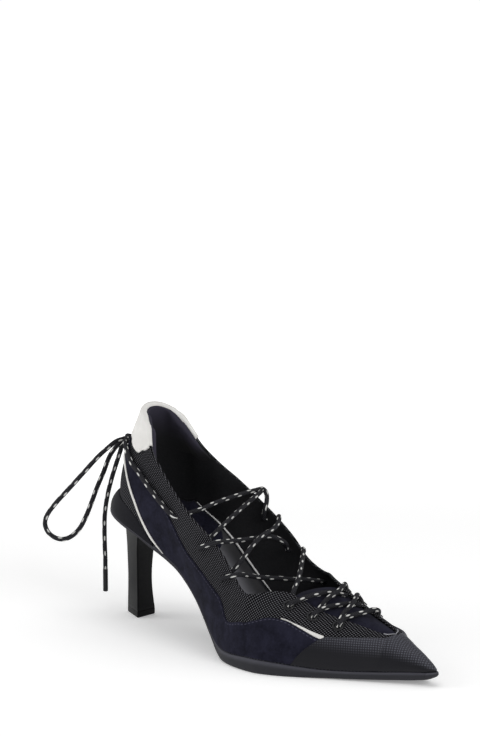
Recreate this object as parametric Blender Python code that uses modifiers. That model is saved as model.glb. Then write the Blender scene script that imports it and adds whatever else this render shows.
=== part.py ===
"""Pointed toe lace-up pump, right shoe, standing on the floor at z = 0.

Sizes are in millimetres and turned to metres where a mesh is made.  The last is a table of sections
along the foot: x runs from the heel to the toe, +Y is the inner (medial) side, and the origin lies
on the flat of the forefoot tread.
"""
import math

import bmesh
import bpy
import numpy as np

MM = 0.001
OBJECT_NAME = "pointed_toe_pump"
TREAD_X = 145.0            # station of the forefoot tread that becomes the origin
LATERAL, MEDIAL = -1, 1

# The last: a row for each section.  Half widths are taken from the centre line of the foot, leans are
# the wall's angles from upright at the feather edge and at the top line.
LAST_COLUMNS = ("x", "feather_z", "lateral", "medial", "centre", "top_half", "top_z", "lean_low", "lean_top")
LAST = (
    (36.0, 64.3, 25.5, 25.0, 0.0, 16.5, 125.5, -8, 18),
    (42.3, 60.0, 25.7, 25.0, 0.0, 20.6, 114.2, -10, 14),
    (55.0, 52.8, 25.6, 24.0, 0.0, 24.2, 101.8, -12, 10),
    (71.0, 43.6, 24.8, 21.5, 0.0, 28.8, 90.0, -16, 6),
    (87.0, 28.6, 25.6, 20.5, 0.0, 31.4, 78.6, -18, 4),
    (103.0, 13.6, 31.0, 23.5, 0.0, 31.6, 68.4, -14, 8),
    (114.0, 8.0, 36.5, 27.0, 0.0, 32.0, 59.6, -8, 14),
    (124.0, 7.3, 41.4, 30.0, 0.0, 33.0, 48.8, -4, 20),
    (130.0, 7.4, 43.4, 31.6, 0.0, 34.8, 44.2, -2, 24),
    (137.0, 7.8, 44.9, 33.0, 0.2, 36.0, 41.6, 0, 28),
    (141.5, 8.2, 45.5, 33.8, 0.3, 33.2, 41.8, 1, 36),
    (145.0, 8.4, 45.8, 34.2, 0.4, 29.6, 42.8, 2, 44),
    (150.0, 8.5, 45.8, 34.8, 0.5, 24.8, 43.5, 3, 54),
    (156.0, 8.3, 44.6, 35.2, 0.8, 20.8, 42.8, 4, 62),
    (162.0, 7.9, 42.4, 35.3, 1.0, 18.8, 40.2, 5, 68),
    (176.0, 6.4, 35.2, 33.2, 1.8, 16.0, 34.4, 6, 72),
    (190.0, 5.4, 27.4, 27.4, 2.7, 12.0, 30.8, 6, 72),
    (203.0, 5.7, 20.8, 20.4, 3.5, 8.4, 27.6, 6, 74),
    (209.0, 6.0, 17.7, 17.2, 3.9, 6.6, 26.0, 6, 78),
    (212.5, 6.2, 15.9, 15.4, 4.2, 4.4, 25.2, 6, 82),
    (214.5, 6.3, 14.9, 14.4, 4.3, 0.0, 24.8, 6, 86),
    (224.0, 7.0, 10.0, 9.8, 5.0, 0.0, 19.8, 6, 88),
    (233.0, 7.6, 5.4, 5.4, 5.5, 0.0, 15.0, 4, 84),
    (238.5, 8.0, 2.8, 2.8, 5.8, 0.0, 11.6, 2, 60),
    (241.5, 8.2, 0.0, 0.0, 6.0, 0.0, 10.0, 0, 0),
)
HEEL_X = LAST[0][0]        # behind this station the sections fan round the heel
TIP_X = LAST[-1][0]
SLOT_END_X = 214.5         # the lace slot closes here
FAN_LENGTH = 46.0          # length given to a quarter turn of the fan
BACK_U = HEEL_X - FAN_LENGTH
BACK_SEAM = {
    "foot": 32.0, "feather_z": 76.5, "top_half": 13.5, "top_z": 136.5, "lean_low": -4.0, "lean_top": 22.0,
}
RIB_PULL = 0.38            # fullness of a section's curve
TOP_DROP = 2.2             # how late the top line falls from the back seam

WALL = 1.6
SEAT_GAP = 0.35            # clearance between pieces that lie on each other
UPPER_ROWS = 8
FAN_STEPS = 8
UPPER_STATIONS = (
    36, 42.3, 48, 55, 63, 71, 79, 87, 95, 103, 108.5, 114, 119, 124, 130, 137, 141.5, 145, 150, 156, 162,
    169, 176, 183, 190, 196.5, 203, 209, 212.5, 214.5, 219, 224, 229, 233, 236, 238.5, 240.3, 241.5,
)

# The unit sole: heights of its underside and, behind the heel seat, of the lip's top.
UNDER_COLUMNS = ("x", "under_z")
UNDER = (
    (-6.5, 71.0), (-5.5, 69.2), (-3.0, 68.2), (2.0, 67.0), (19.0, 63.2), (35.0, 58.6), (50.0, 52.0),
    (60.0, 47.3), (71.0, 40.6), (83.0, 29.2), (93.0, 18.3), (103.5, 8.6), (112.0, 2.8), (120.0, 0.3),
    (126.0, 0.0), (172.0, 0.0), (190.0, 0.4), (206.0, 1.0), (222.0, 1.9), (233.0, 2.7), (238.0, 3.6),
    (241.0, 4.8), (243.0, 6.4),
)
LIP_COLUMNS = ("x", "top_z")
LIP = ((-6.5, 72.4), (-5.5, 73.8), (-3.0, 75.3), (0.0, 76.1), (4.0, 76.15))
EDGE_COLUMNS = ("x", "margin")
EDGE = ((36.0, 1.2), (48.0, 0.9), (60.0, 0.3), (104.0, 0.3), (122.0, 0.9), (190.0, 0.9), (243.0, 0.7))
LIP_END_X = -6.5
SOLE_TIP_X = 243.0
SOLE_BOTTOM_INSET = 1.6
SOLE_TOP_INSET = 0.7
SOLE_STATIONS = (
    -6.5, -5.5, -3, 1, 6, 12, 19, 27, 36, 43, 50, 57, 64, 71, 77, 83, 88, 93, 98, 103.5, 108, 112, 116, 120,
    126, 132, 138, 145, 152, 160, 168, 176, 184, 192, 200, 208, 216, 224, 231, 236.5, 240.5, 243,
)

# The three-sided heel: a row for each level, the back edge and the two front corners.
HEEL_COLUMNS = ("z", "back_x", "front_x", "half_width")
HEEL_TIP_HEIGHT = 4.0
HEEL_ROWS = (
    (HEEL_TIP_HEIGHT + 0.3, -0.5, 17.2, 7.9),
    (13.0, -0.2, 16.4, 7.1),
    (24.0, 0.0, 15.9, 6.7),
    (36.0, -0.4, 16.3, 7.2),
    (46.0, -0.9, 17.4, 8.2),
    (55.0, -1.8, 20.5, 10.6),
)
HEEL_SEAT = (-3.0, 27.0, 15.0)     # back edge, front face and half width against the sole
HEEL_CORNER = 1.3

INSOLE_INSET = 3.2
INSOLE_THICKNESS = 2.0
INSOLE_STATIONS = (
    7.4, 9, 12, 17, 23, 30, 36, 43, 50, 57, 64, 71, 79, 87, 95, 103, 110, 117, 124, 132, 141, 150, 160, 170,
    180, 190, 200, 208, 214,
)
TONGUE_THICKNESS = 1.4
TONGUE_TUCK = 3.5          # how far the tongue reaches under the edges of the slot, at most
TONGUE_BACK_X = 151.5
TONGUE_ROUND = 13.5        # length of the tongue's rounded end
TONGUE_EDGE = 2.4          # how far the tongue lies below the edge of the slot
TONGUE_SAG = 2.2           # least fall from its crown to the edge of the slot
CROWN_COLUMNS = ("x", "crown_z")
TONGUE_CROWN = (
    (151.0, 40.0), (155.0, 40.6), (160.0, 40.7), (165.0, 39.8), (170.0, 38.2), (176.0, 35.9), (182.0, 33.8),
    (190.0, 31.4), (196.0, 29.9), (203.0, 27.8), (209.0, 25.9), (213.0, 24.6),
)
TONGUE_STATIONS = (152, 153.5, 156, 160, 165, 171, 178, 185, 192, 199, 205, 210)

# Seams on the upper: a row holds the station and the height up the wall, from 0 at the feather edge to 1.
SEAM_COLUMNS = ("u", "v")
PIPING_LINE = (
    (-10.0, 0.520), (7.5, 0.515), (16.3, 0.500), (19.8, 0.480), (27.0, 0.388), (31.2, 0.316), (35.4, 0.240),
    (39.5, 0.192), (44.3, 0.138), (48.8, 0.085), (53.2, 0.046), (56.5, 0.026), (58.5, 0.012),
)
TAB_EDGE = (
    (-10.0, 0.772), (0.0, 0.762), (6.0, 0.750), (14.0, 0.745), (20.0, 0.735), (26.2, 0.716), (31.0, 0.714),
    (33.5, 0.730), (37.7, 0.822), (42.4, 1.0),
)
SUEDE_TOP = (
    (-10.0, 0.76), (0.0, 0.75), (8.0, 0.73), (14.0, 0.68), (19.8, 0.64), (25.2, 0.615), (31.8, 0.588),
    (39.9, 0.628), (47.7, 0.684), (55.9, 0.702), (62.0, 0.694), (66.0, 0.668), (70.0, 0.63), (75.0, 0.58),
    (82.6, 0.535), (89.2, 0.55), (97.4, 0.58), (104.9, 0.588), (111.6, 0.598), (117.0, 0.594), (120.6, 0.545),
    (123.3, 0.478), (125.8, 0.44), (131.3, 0.488), (137.3, 0.552), (143.0, 0.545), (148.8, 0.55), (153.1, 0.572),
    (160.5, 0.592), (163.6, 0.594), (168.9, 0.572), (174.7, 0.541), (179.3, 0.505), (182.1, 0.486),
    (184.5, 0.470),
)
STRIPE_TOP = ((160.1, 0.597), (164.6, 0.604), (172.1, 0.599), (178.7, 0.577), (184.6, 0.556))
CAP_EDGE = (
    (170.9, 0.0), (173.0, 0.113), (175.0, 0.20), (176.6, 0.265), (179.0, 0.356), (181.3, 0.439),
    (184.1, 0.528), (188.8, 0.571), (195.4, 0.634), (201.9, 0.704), (208.2, 0.785), (212.2, 0.83),
    (214.2, 0.86), (215.3, 0.94), (216.2, 1.0), (241.5, 1.0),
)
OVERLAY = 0.8              # thickness of the overlays
SEAM_V = 0.010             # half of the clearance left along a seam
FEATHER_V = 0.022          # the overlays stop this far above the sole
PIPING_RADIUS = 0.9
PIPING_CLEAR_V = 0.036
PIPING_END_V = 0.034
SUEDE_ROWS, CAP_ROWS, TAB_ROWS = 5, 6, 4
SUEDE_STATIONS = (
    36, 42.3, 49, 55, 62, 66, 71, 79, 87, 97, 110, 117, 121, 125, 130, 137, 144, 150, 156, 162, 169,
    171, 174.8, 178.7, 180.6,
)
CAP_STATIONS = (
    172, 174.8, 178.7, 183.8, 190, 196.5, 203, 209, 212.6, 215.1, 216.2, 219, 224, 229, 233, 236, 238.5,
    240.3, 241.5,
)
TAB_STATIONS = (36, 38.5, 41)
STRIPE_STATIONS = (169, 171, 174.8, 178.7, 180.6, 182)

# The lace: a round cord through three eyelets on each side of the vamp and three on each quarter.
LACE_RADIUS = 1.45
LACE_CLEAR = 0.4
LACE_SPACING = 5.0         # length of a straight step along the cord
BOW_SPACING = 7.5          # the same for the longer, freer bends
EYELETS = {"vamp_1": (160.0, 0.825), "vamp_2": (173.8, 0.833), "vamp_3": (188.3, 0.818)}
OUTER_HOLES = {"back": (73.9, 0.779), "middle": (95.3, 0.798), "front": (116.2, 0.805)}
INNER_HOLES = {"back": (90.0, 0.861), "middle": (108.7, 0.79), "front": (133.7, 0.81)}
# Runs to the back: station, height up the wall and distance of the cord's middle from the wall.
RUN_BACK = (
    (55.9, 0.707, 3.05), (47.7, 0.689, 3.05), (39.9, 0.631, 3.05), (31.8, 0.588, 3.05), (25.2, 0.618, 3.05),
    (18.5, 0.64, 3.1), (11.0, 0.635, 3.3), (4.0, 0.612, 3.7),
)
RUN_START = {
    LATERAL: ((72.4, 0.770, 1.85), (64.9, 0.734, 2.3)),
    MEDIAL: ((88.6, 0.842, 1.85), (82.0, 0.80, 1.85), (72.0, 0.755, 2.2), (64.0, 0.728, 2.6)),
}
KNOT_V, KNOT_LIFT = 0.56, 7.2
KNOT_SIZE = (4.4, 5.8, 4.8)
KNOT_GAP = 0.5
# Directions in which the cord leaves the knot.
KNOT_EXITS = {
    LATERAL: {"run": (0.5, -0.86, 0.0), "loop_out": (-0.33, -0.91, -0.2), "loop_back": (-0.92, 0.0, -0.39),
              "end": (-0.5, -0.42, -0.76)},
    MEDIAL: {"run": (0.5, 0.86, 0.0), "loop_out": (-0.3, 0.93, 0.12), "loop_back": (-0.55, 0.62, -0.55),
             "end": (-0.2, 0.1, -0.97)},
}
# Bow behind the heel: further points of the cord from the knot outwards, in the last's own stations.
BOW_LOOPS = {
    LATERAL: (
        (0.0, -12.4, 109.6), (-2.2, -22.0, 103.0), (-6.0, -31.0, 93.6), (-11.9, -38.0, 83.6),
        (-19.1, -44.0, 73.2), (-23.4, -47.0, 65.6), (-23.7, -48.0, 60.1), (-20.3, -47.5, 55.0),
        (-14.2, -45.0, 52.2), (-9.1, -41.0, 53.3), (-5.8, -36.0, 58.1), (-5.6, -30.5, 64.8),
        (-6.6, -24.5, 73.0), (-8.0, -18.0, 82.2), (-8.6, -12.0, 90.6), (-8.4, -6.0, 101.1),
    ),
    MEDIAL: (
        (0.0, 17.5, 110.5), (-3.0, 30.0, 103.5), (-4.5, 41.0, 86.0), (-2.5, 45.5, 68.0), (1.0, 45.0, 58.5),
        (5.5, 40.5, 55.8), (6.8, 35.0, 61.5), (4.0, 27.5, 78.0), (1.0, 19.0, 95.0),
    ),
}
BOW_ENDS = {
    LATERAL: (
        (-0.8, -4.6, 104.4), (-5.4, -4.0, 95.4), (-10.2, -3.5, 85.3), (-14.9, -3.0, 73.2), (-17.0, -3.5, 60.6),
        (-16.9, -4.0, 46.4), (-16.4, -4.0, 32.2), (-16.4, -4.0, 25.4),
    ),
    MEDIAL: (
        (0.0, 6.0, 95.0), (-5.0, 10.5, 82.0), (-7.0, 13.0, 70.0), (-7.0, 15.5, 55.0), (-6.0, 17.0, 42.0),
        (-5.5, 17.0, 31.0), (-5.5, 17.0, 25.4),
    ),
}
AGLET_RADIUS, AGLET_LENGTH = 1.6, 14.6

bpy.context.scene.unit_settings.system = "METRIC"
for old in list(bpy.data.objects):
    bpy.data.objects.remove(old, do_unlink=True)
parts = bpy.data.collections.new(OBJECT_NAME)
cutters = bpy.data.collections.new("joined_strands")
for collection in (parts, cutters):
    bpy.context.scene.collection.children.link(collection)


def material(name, colour, roughness, metallic=0.0):
    made = bpy.data.materials.new(name)
    made.use_nodes = True
    shader = made.node_tree.nodes["Principled BSDF"]
    shader.inputs["Base Color"].default_value = (*colour, 1.0)
    shader.inputs["Roughness"].default_value = roughness
    shader.inputs["Metallic"].default_value = metallic
    return made


BLACK_MESH = material("black_mesh", (0.012, 0.012, 0.014), 0.85)
NAVY_SUEDE = material("navy_suede", (0.011, 0.012, 0.028), 0.95)
BLACK_RUBBER = material("black_rubber", (0.014, 0.014, 0.015), 0.5)
HEEL_LACQUER = material("heel_lacquer", (0.016, 0.016, 0.018), 0.35)
LINING_LEATHER = material("lining_leather", (0.02, 0.02, 0.024), 0.6)
WHITE_LEATHER = material("white_leather", (0.75, 0.74, 0.71), 0.45)
TOE_RUBBER = material("toe_rubber", (0.016, 0.016, 0.018), 0.4)
LACE_CORD = material("lace_cord", (0.02, 0.02, 0.022), 0.8)
AGLET_PLASTIC = material("aglet_plastic", (0.012, 0.012, 0.013), 0.3)


def along(rows, columns, column, x):
    """Smooth value of one column at x, level where its neighbours turn."""
    xs = [row[0] for row in rows]
    ys = [row[columns.index(column)] for row in rows]
    i = int(np.clip(np.searchsorted(xs, x) - 1, 0, len(xs) - 2))

    def slope(k):
        steps = [(ys[j + 1] - ys[j]) / (xs[j + 1] - xs[j]) for j in (k - 1, k) if 0 <= j < len(xs) - 1]
        if len(steps) == 1:
            return steps[0]
        if steps[0] * steps[1] <= 0:
            return 0.0
        before, after = xs[k] - xs[k - 1], xs[k + 1] - xs[k]
        return (steps[0] * after + steps[1] * before) / (before + after)

    span = xs[i + 1] - xs[i]
    t = min(max((x - xs[i]) / span, 0.0), 1.0)
    start = (2 * t ** 3 - 3 * t ** 2 + 1) * ys[i] + (t ** 3 - 2 * t ** 2 + t) * span * slope(i)
    end = (-2 * t ** 3 + 3 * t ** 2) * ys[i + 1] + (t ** 3 - t ** 2) * span * slope(i + 1)
    return start + end


def section(x):
    return {column: along(LAST, LAST_COLUMNS, column, x) for column in LAST_COLUMNS[1:]}


def rib(foot, feather_z, top_half, top_z, lean_low, lean_top, v):
    """Half width and height at v, from 0 at the feather edge to 1 at the top line."""
    low = np.array((foot, feather_z))
    top = np.array((top_half, top_z))
    pull = RIB_PULL * np.linalg.norm(top - low)
    a, b = math.radians(lean_low), math.radians(lean_top)
    low_arm = low + pull * np.array((-math.sin(a), math.cos(a)))
    top_arm = top - pull * np.array((-math.sin(b), math.cos(b)))
    w = 1.0 - v
    return w ** 3 * low + 3 * w * w * v * low_arm + 3 * w * v * v * top_arm + v ** 3 * top


def skin(side, u, v):
    """Point on the outside of the upper; u is the station, and runs on round the heel to BACK_U."""
    s = section(max(u, HEEL_X))
    foot = s["lateral"] if side == LATERAL else s["medial"]
    if u >= HEEL_X:
        r, z = rib(foot, s["feather_z"], s["top_half"], s["top_z"], s["lean_low"], s["lean_top"], v)
        return np.array((u, s["centre"] + side * r, z))
    turn = (HEEL_X - u) / FAN_LENGTH * math.pi / 2
    back, out = math.sin(turn), math.cos(turn)
    share = min(max(1.0 - (HEEL_X - u) / FAN_LENGTH, 0.0), 1.0)
    ease = share * share * (3 - 2 * share)
    radius = 1.0 / math.hypot(back / BACK_SEAM["foot"], out / foot)
    top_radius = 1.0 / math.hypot(back / BACK_SEAM["top_half"], out / s["top_half"])
    forward = 1.0 - back * radius / BACK_SEAM["foot"]

    def blend(key, amount):
        return BACK_SEAM[key] + (s[key] - BACK_SEAM[key]) * amount

    r, z = rib(radius, blend("feather_z", forward), top_radius, blend("top_z", share ** TOP_DROP),
               blend("lean_low", ease), blend("lean_top", ease), v)
    return np.array((HEEL_X - back * r, side * out * r, z))


def skin_normal(side, u, v):
    du, dv = 0.4, 0.01
    u0, u1 = max(u - du, BACK_U), min(u + du, TIP_X)
    v0, v1 = max(v - dv, 0.0), min(v + dv, 1.0)
    across = np.cross(skin(side, u1, v) - skin(side, u0, v), skin(side, u, v1) - skin(side, u, v0))
    normal = -side * across
    on_seam = u <= BACK_U or u >= TIP_X or (v >= 1.0 and u >= SLOT_END_X)
    if on_seam:
        normal[1] = 0.0
    if u >= TIP_X:
        normal = np.array((1.0, 0.0, 0.0))
    return normal / np.linalg.norm(normal)


def on_skin(side, u, v, lift):
    return skin(side, u, v) + lift * skin_normal(side, u, v)


def metres(point):
    return ((point[0] - TREAD_X) * MM, point[1] * MM, point[2] * MM)


def finish(name, bm, look, smooth_angle=50.0):
    """Put a finished bmesh into the scene as one named piece."""
    mesh = bpy.data.meshes.new(name)
    bm.to_mesh(mesh)
    bm.free()
    mesh.materials.append(look)
    mesh.shade_smooth()
    mesh.set_sharp_from_angle(angle=math.radians(smooth_angle))
    piece = bpy.data.objects.new(name, mesh)
    parts.objects.link(piece)
    return piece


def add_patch(bm, side, stations, low, high, rows, lift):
    """Grid of faces on the skin between two edge functions of the station, facing outwards."""
    grid = []
    for u in stations:
        v_low, v_high = low(u), high(u)
        heights = [v_low + (v_high - v_low) * j / rows for j in range(rows + 1)]
        grid.append([bm.verts.new(metres(on_skin(side, u, v, lift))) for v in heights])
    for left, right in zip(grid, grid[1:]):
        for j in range(rows):
            corners = [left[j], right[j], right[j + 1], left[j + 1]]
            bm.faces.new(corners if side == LATERAL else corners[::-1])


def merge_seams(bm):
    bmesh.ops.remove_doubles(bm, verts=bm.verts, dist=0.00001)
    bmesh.ops.dissolve_degenerate(bm, edges=bm.edges, dist=0.000001)


def thicken(piece, thickness, offset):
    wall = piece.modifiers.new("wall", "SOLIDIFY")
    wall.thickness = thickness * MM
    wall.offset = offset
    wall.use_even_offset = True
    wall.use_quality_normals = True


def loft(name, rings, look):
    """Closed body through rings of equal count, with a face over each end."""
    bm = bmesh.new()
    loops = [[bm.verts.new(metres(point)) for point in ring] for ring in rings]
    for first, second in zip(loops, loops[1:]):
        count = len(first)
        for i in range(count):
            j = (i + 1) % count
            bm.faces.new((first[i], first[j], second[j], second[i]))
    bm.faces.new(loops[0][::-1])
    bm.faces.new(loops[-1])
    bmesh.ops.triangulate(bm, faces=[face for face in bm.faces if len(face.verts) > 4])
    bmesh.ops.recalc_face_normals(bm, faces=bm.faces)
    return finish(name, bm, look)


def fan_stations():
    return [BACK_U + FAN_LENGTH * i / FAN_STEPS for i in range(FAN_STEPS)]


def make_upper():
    bm = bmesh.new()
    stations = fan_stations() + list(UPPER_STATIONS)
    for side in (LATERAL, MEDIAL):
        add_patch(bm, side, stations, lambda u: 0.0, lambda u: 1.0, UPPER_ROWS, 0.0)
    merge_seams(bm)
    thicken(finish("upper", bm, BLACK_MESH), WALL, -1.0)


def seat_z(x):
    """Height of the upper's feather edge, which the sole's top follows."""
    if x >= HEEL_X:
        return along(LAST, LAST_COLUMNS, "feather_z", min(x, TIP_X))
    share = (HEEL_X - x) / BACK_SEAM["foot"]
    return LAST[0][1] + (BACK_SEAM["feather_z"] - LAST[0][1]) * share


def foot_half(side, x, margin, back_length):
    """Half width of the foot's plan outline at x, widened by a margin, rounded off round the heel."""
    s = section(min(max(x, HEEL_X), TIP_X))
    half = (s["lateral"] if side == LATERAL else s["medial"]) + margin
    if x < HEEL_X:
        half *= math.sqrt(max(0.0, 1.0 - ((HEEL_X - x) / back_length) ** 2))
    return half


def make_outsole():
    rings = []
    lip_length = HEEL_X - LIP_END_X
    for x in SOLE_STATIONS:
        centre = section(min(max(x, HEEL_X), TIP_X))["centre"]
        margin = along(EDGE, EDGE_COLUMNS, "margin", x)
        under = along(UNDER, UNDER_COLUMNS, "under_z", x)
        top = seat_z(x) - SEAT_GAP if x > LIP[-1][0] else along(LIP, LIP_COLUMNS, "top_z", x)
        edges = {}
        for side in (LATERAL, MEDIAL):
            half = foot_half(side, x, margin, lip_length + 0.4)
            if x > TIP_X - 2.0:
                half = max(half, 1.2 * (SOLE_TIP_X + 0.6 - x))
            edges[side] = half
        height = top - under
        ring = []
        for side, steps in ((LATERAL, range(5)), (MEDIAL, range(4, -1, -1))):
            half = edges[side]
            low_half = max(half - SOLE_BOTTOM_INSET, 0.5 * half)
            top_half = max(half - SOLE_TOP_INSET, 0.6 * half)
            profile = (
                (0.0, under), (low_half, under), (half, under + 0.32 * height),
                (half, under + 0.74 * height), (top_half, top),
            )
            ring += [(x, centre + side * profile[k][0], profile[k][1]) for k in steps]
        # the two middle points of the underside are one, and the top is closed at its middle
        ring.pop()
        ring.insert(5, (x, centre, top))
        rings.append(ring)
    loft("outsole", rings, BLACK_RUBBER)


def heel_ring(back_x, front_x, half_width, height):
    """Three corners, each rounded by three points; height is a function of x."""
    corners = [np.array(c) for c in ((back_x, 0.0), (front_x, -half_width), (front_x, half_width))]
    ring = []
    for i, corner in enumerate(corners):
        before = corners[i - 1] - corner
        after = corners[(i + 1) % 3] - corner
        before = corner + before / np.linalg.norm(before) * HEEL_CORNER
        after = corner + after / np.linalg.norm(after) * HEEL_CORNER
        middle = 0.5 * corner + 0.25 * (before + after)
        ring += [(p[0], p[1], height(p[0])) for p in (before, middle, after)]
    return ring


def make_heel():
    rings = [heel_ring(b, f, w, lambda x, z=z: z) for z, b, f, w in HEEL_ROWS]
    rings.append(heel_ring(*HEEL_SEAT, lambda x: along(UNDER, UNDER_COLUMNS, "under_z", x) - SEAT_GAP))
    loft("heel", rings, HEEL_LACQUER)
    back, front, half = HEEL_ROWS[0][1:]
    tip = [heel_ring(back, front, half, lambda x, z=z: z) for z in (0.0, HEEL_TIP_HEIGHT)]
    loft("heel_tip", tip, BLACK_RUBBER)


def make_insole():
    rings = []
    back_length = BACK_SEAM["foot"] - INSOLE_INSET
    for x in INSOLE_STATIONS:
        centre = section(max(x, HEEL_X))["centre"]
        left = centre - foot_half(LATERAL, x, -INSOLE_INSET, back_length)
        right = centre + foot_half(MEDIAL, x, -INSOLE_INSET, back_length)
        z = seat_z(x)
        top = z + INSOLE_THICKNESS
        low = [(x, left, z), (x, centre, z), (x, right, z)]
        rings.append(low + [(x, right, top), (x, centre, top), (x, left, top)])
    loft("insole", rings, LINING_LEATHER)


def tongue_half(x):
    full = section(max(x, TONGUE_BACK_X + TONGUE_ROUND))["top_half"]
    full += min(TONGUE_TUCK, 1.0 + 0.3 * full)
    short = max(0.0, TONGUE_BACK_X + TONGUE_ROUND - x) / TONGUE_ROUND
    return full * math.sqrt(1.0 - short * short)


def tongue_point(x, across):
    """Point on the tongue's upper face; across runs from -1 to 1."""
    s = section(x)
    crown = along(TONGUE_CROWN, CROWN_COLUMNS, "crown_z", x)
    reach = across * tongue_half(x)
    fall = max(crown - s["top_z"] + TONGUE_EDGE, TONGUE_SAG)
    return np.array((x, s["centre"] + reach, crown - fall * (reach / s["top_half"]) ** 2))


def make_tongue():
    bm = bmesh.new()
    steps = 8
    grid = []
    for x in TONGUE_STATIONS:
        across = [2.0 * j / steps - 1.0 for j in range(steps + 1)]
        grid.append([bm.verts.new(metres(tongue_point(x, a))) for a in across])
    for back, front in zip(grid, grid[1:]):
        for j in range(steps):
            bm.faces.new((back[j], front[j], front[j + 1], back[j + 1]))
    thicken(finish("tongue", bm, NAVY_SUEDE), TONGUE_THICKNESS, -1.0)


def seam(rows, shift=0.0):
    return lambda u: min(max(along(rows, SEAM_COLUMNS, "v", u) + shift, 0.0), 1.0)


def overlay(name, sides, stations, low, high, rows, look):
    """Piece of the upper's own surface, lifted clear of it and given its thickness outwards."""
    bm = bmesh.new()
    for side in sides:
        add_patch(bm, side, stations, low, high, rows, SEAT_GAP)
    merge_seams(bm)
    thicken(finish(name, bm, look), OVERLAY, 1.0)


def suede_low(u):
    if u < PIPING_LINE[-1][0]:
        return max(seam(PIPING_LINE)(u) + PIPING_CLEAR_V, FEATHER_V)
    if u > CAP_EDGE[0][0]:
        return max(seam(CAP_EDGE, SEAM_V)(u), FEATHER_V)
    return FEATHER_V


def make_overlays():
    around = fan_stations()
    for side, side_name in ((LATERAL, "lateral"), (MEDIAL, "medial")):
        # the two panels stop short of each other at the back seam
        suede_stations = [BACK_U + 0.8] + around[1:] + list(SUEDE_STATIONS)
        suede_high = seam(SUEDE_TOP, -SEAM_V)
        overlay("suede_panel_" + side_name, (side,), suede_stations, suede_low, suede_high, SUEDE_ROWS,
                NAVY_SUEDE)
        stripe_low = seam(SUEDE_TOP, SEAM_V)
        overlay("vamp_stripe_" + side_name, (side,), STRIPE_STATIONS, stripe_low, seam(STRIPE_TOP), 1,
                WHITE_LEATHER)
    both = (LATERAL, MEDIAL)
    cap_high = seam(CAP_EDGE, -SEAM_V * 0.5)
    overlay("toe_cap", both, CAP_STATIONS, lambda u: FEATHER_V, cap_high, CAP_ROWS, TOE_RUBBER)
    tab_stations = around + list(TAB_STATIONS)
    overlay("heel_tab", both, tab_stations, seam(TAB_EDGE), lambda u: 1.0, TAB_ROWS, WHITE_LEATHER)


def smooth_route(points, spacing):
    """Evenly spaced points on a smooth curve through the given ones."""
    points = [np.array(p, float) for p in points]
    ends = [2 * points[0] - points[1]] + points + [2 * points[-1] - points[-2]]
    fine = []
    for a, b, c, d in zip(ends, ends[1:], ends[2:], ends[3:]):
        for k in range(12):
            t = k / 12
            fine.append(0.5 * (2 * b + (c - a) * t + (2 * a - 5 * b + 4 * c - d) * t * t
                               + (3 * b - a - 3 * c + d) * t ** 3))
    fine.append(points[-1])
    reach = np.concatenate(([0.0], np.cumsum([np.linalg.norm(q - p) for p, q in zip(fine, fine[1:])])))
    count = max(2, round(reach[-1] / spacing))
    marks = np.linspace(0.0, reach[-1], count + 1)
    fine = np.array(fine)
    return np.stack([np.interp(marks, reach, fine[:, axis]) for axis in range(3)], axis=1)


def cord(name, points, radius, look, spacing=LACE_SPACING):
    """Round cord with closed ends along a smooth route."""
    route = smooth_route(points, spacing)
    curve = bpy.data.curves.new(name, "CURVE")
    curve.dimensions = "3D"
    spline = curve.splines.new("POLY")
    spline.points.add(len(route) - 1)
    for knot, point in zip(spline.points, route):
        knot.co = (*metres(point), 1.0)
    curve.bevel_depth = radius * MM
    curve.bevel_resolution = 2
    curve.use_fill_caps = True
    curve.materials.append(look)
    piece = bpy.data.objects.new(name, curve)
    parts.objects.link(piece)
    return piece


def as_mesh(piece, collection):
    """The same cord as a welded mesh, so that it can be joined to another."""
    bpy.context.view_layer.update()
    mesh = bpy.data.meshes.new_from_object(piece.evaluated_get(bpy.context.evaluated_depsgraph_get()))
    bm = bmesh.new()
    bm.from_mesh(mesh)
    bmesh.ops.remove_doubles(bm, verts=bm.verts, dist=0.00001)
    bmesh.ops.recalc_face_normals(bm, faces=bm.faces)
    bm.to_mesh(mesh)
    bm.free()
    name = piece.name
    old_curve = piece.data
    bpy.data.objects.remove(piece, do_unlink=True)
    bpy.data.curves.remove(old_curve)
    made = bpy.data.objects.new(name, mesh)
    collection.objects.link(made)
    return made


def joined_cords(name, strands):
    """Strands that cross, joined into one piece."""
    main = as_mesh(cord(name, strands[0], LACE_RADIUS, LACE_CORD), parts)
    for i, strand in enumerate(strands[1:]):
        other = as_mesh(cord(f"{name}_strand_{i + 2}", strand, LACE_RADIUS, LACE_CORD), cutters)
        other.hide_render = True
        other.display_type = "WIRE"
        join = main.modifiers.new("join", "BOOLEAN")
        join.operation = "UNION"
        join.object = other


def outside(side, hole):
    return on_skin(side, *hole, LACE_RADIUS + LACE_CLEAR)


def inside(side, hole):
    return on_skin(side, *hole, -(WALL + LACE_RADIUS + LACE_CLEAR))


def over_edge(side, u):
    """Point of a cord that crosses the top line at a station."""
    up = skin(side, u, 1.0) - skin(side, u, 0.98)
    edge = skin(side, u + 0.5, 1.0) - skin(side, u - 0.5, 1.0)
    up = up - edge * np.dot(up, edge) / np.dot(edge, edge)
    middle = skin(side, u, 1.0) - 0.5 * WALL * skin_normal(side, u, 1.0)
    return middle + (LACE_RADIUS + 1.6 * LACE_CLEAR) * up / np.linalg.norm(up)


def up_and_over(side, hole, u):
    """Points of a cord from a hole of the quarter, up its outer face and over the top line."""
    lift = LACE_RADIUS + LACE_CLEAR
    return [outside(side, hole), on_skin(side, u, 0.985, lift + 0.3), over_edge(side, u)]


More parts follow.
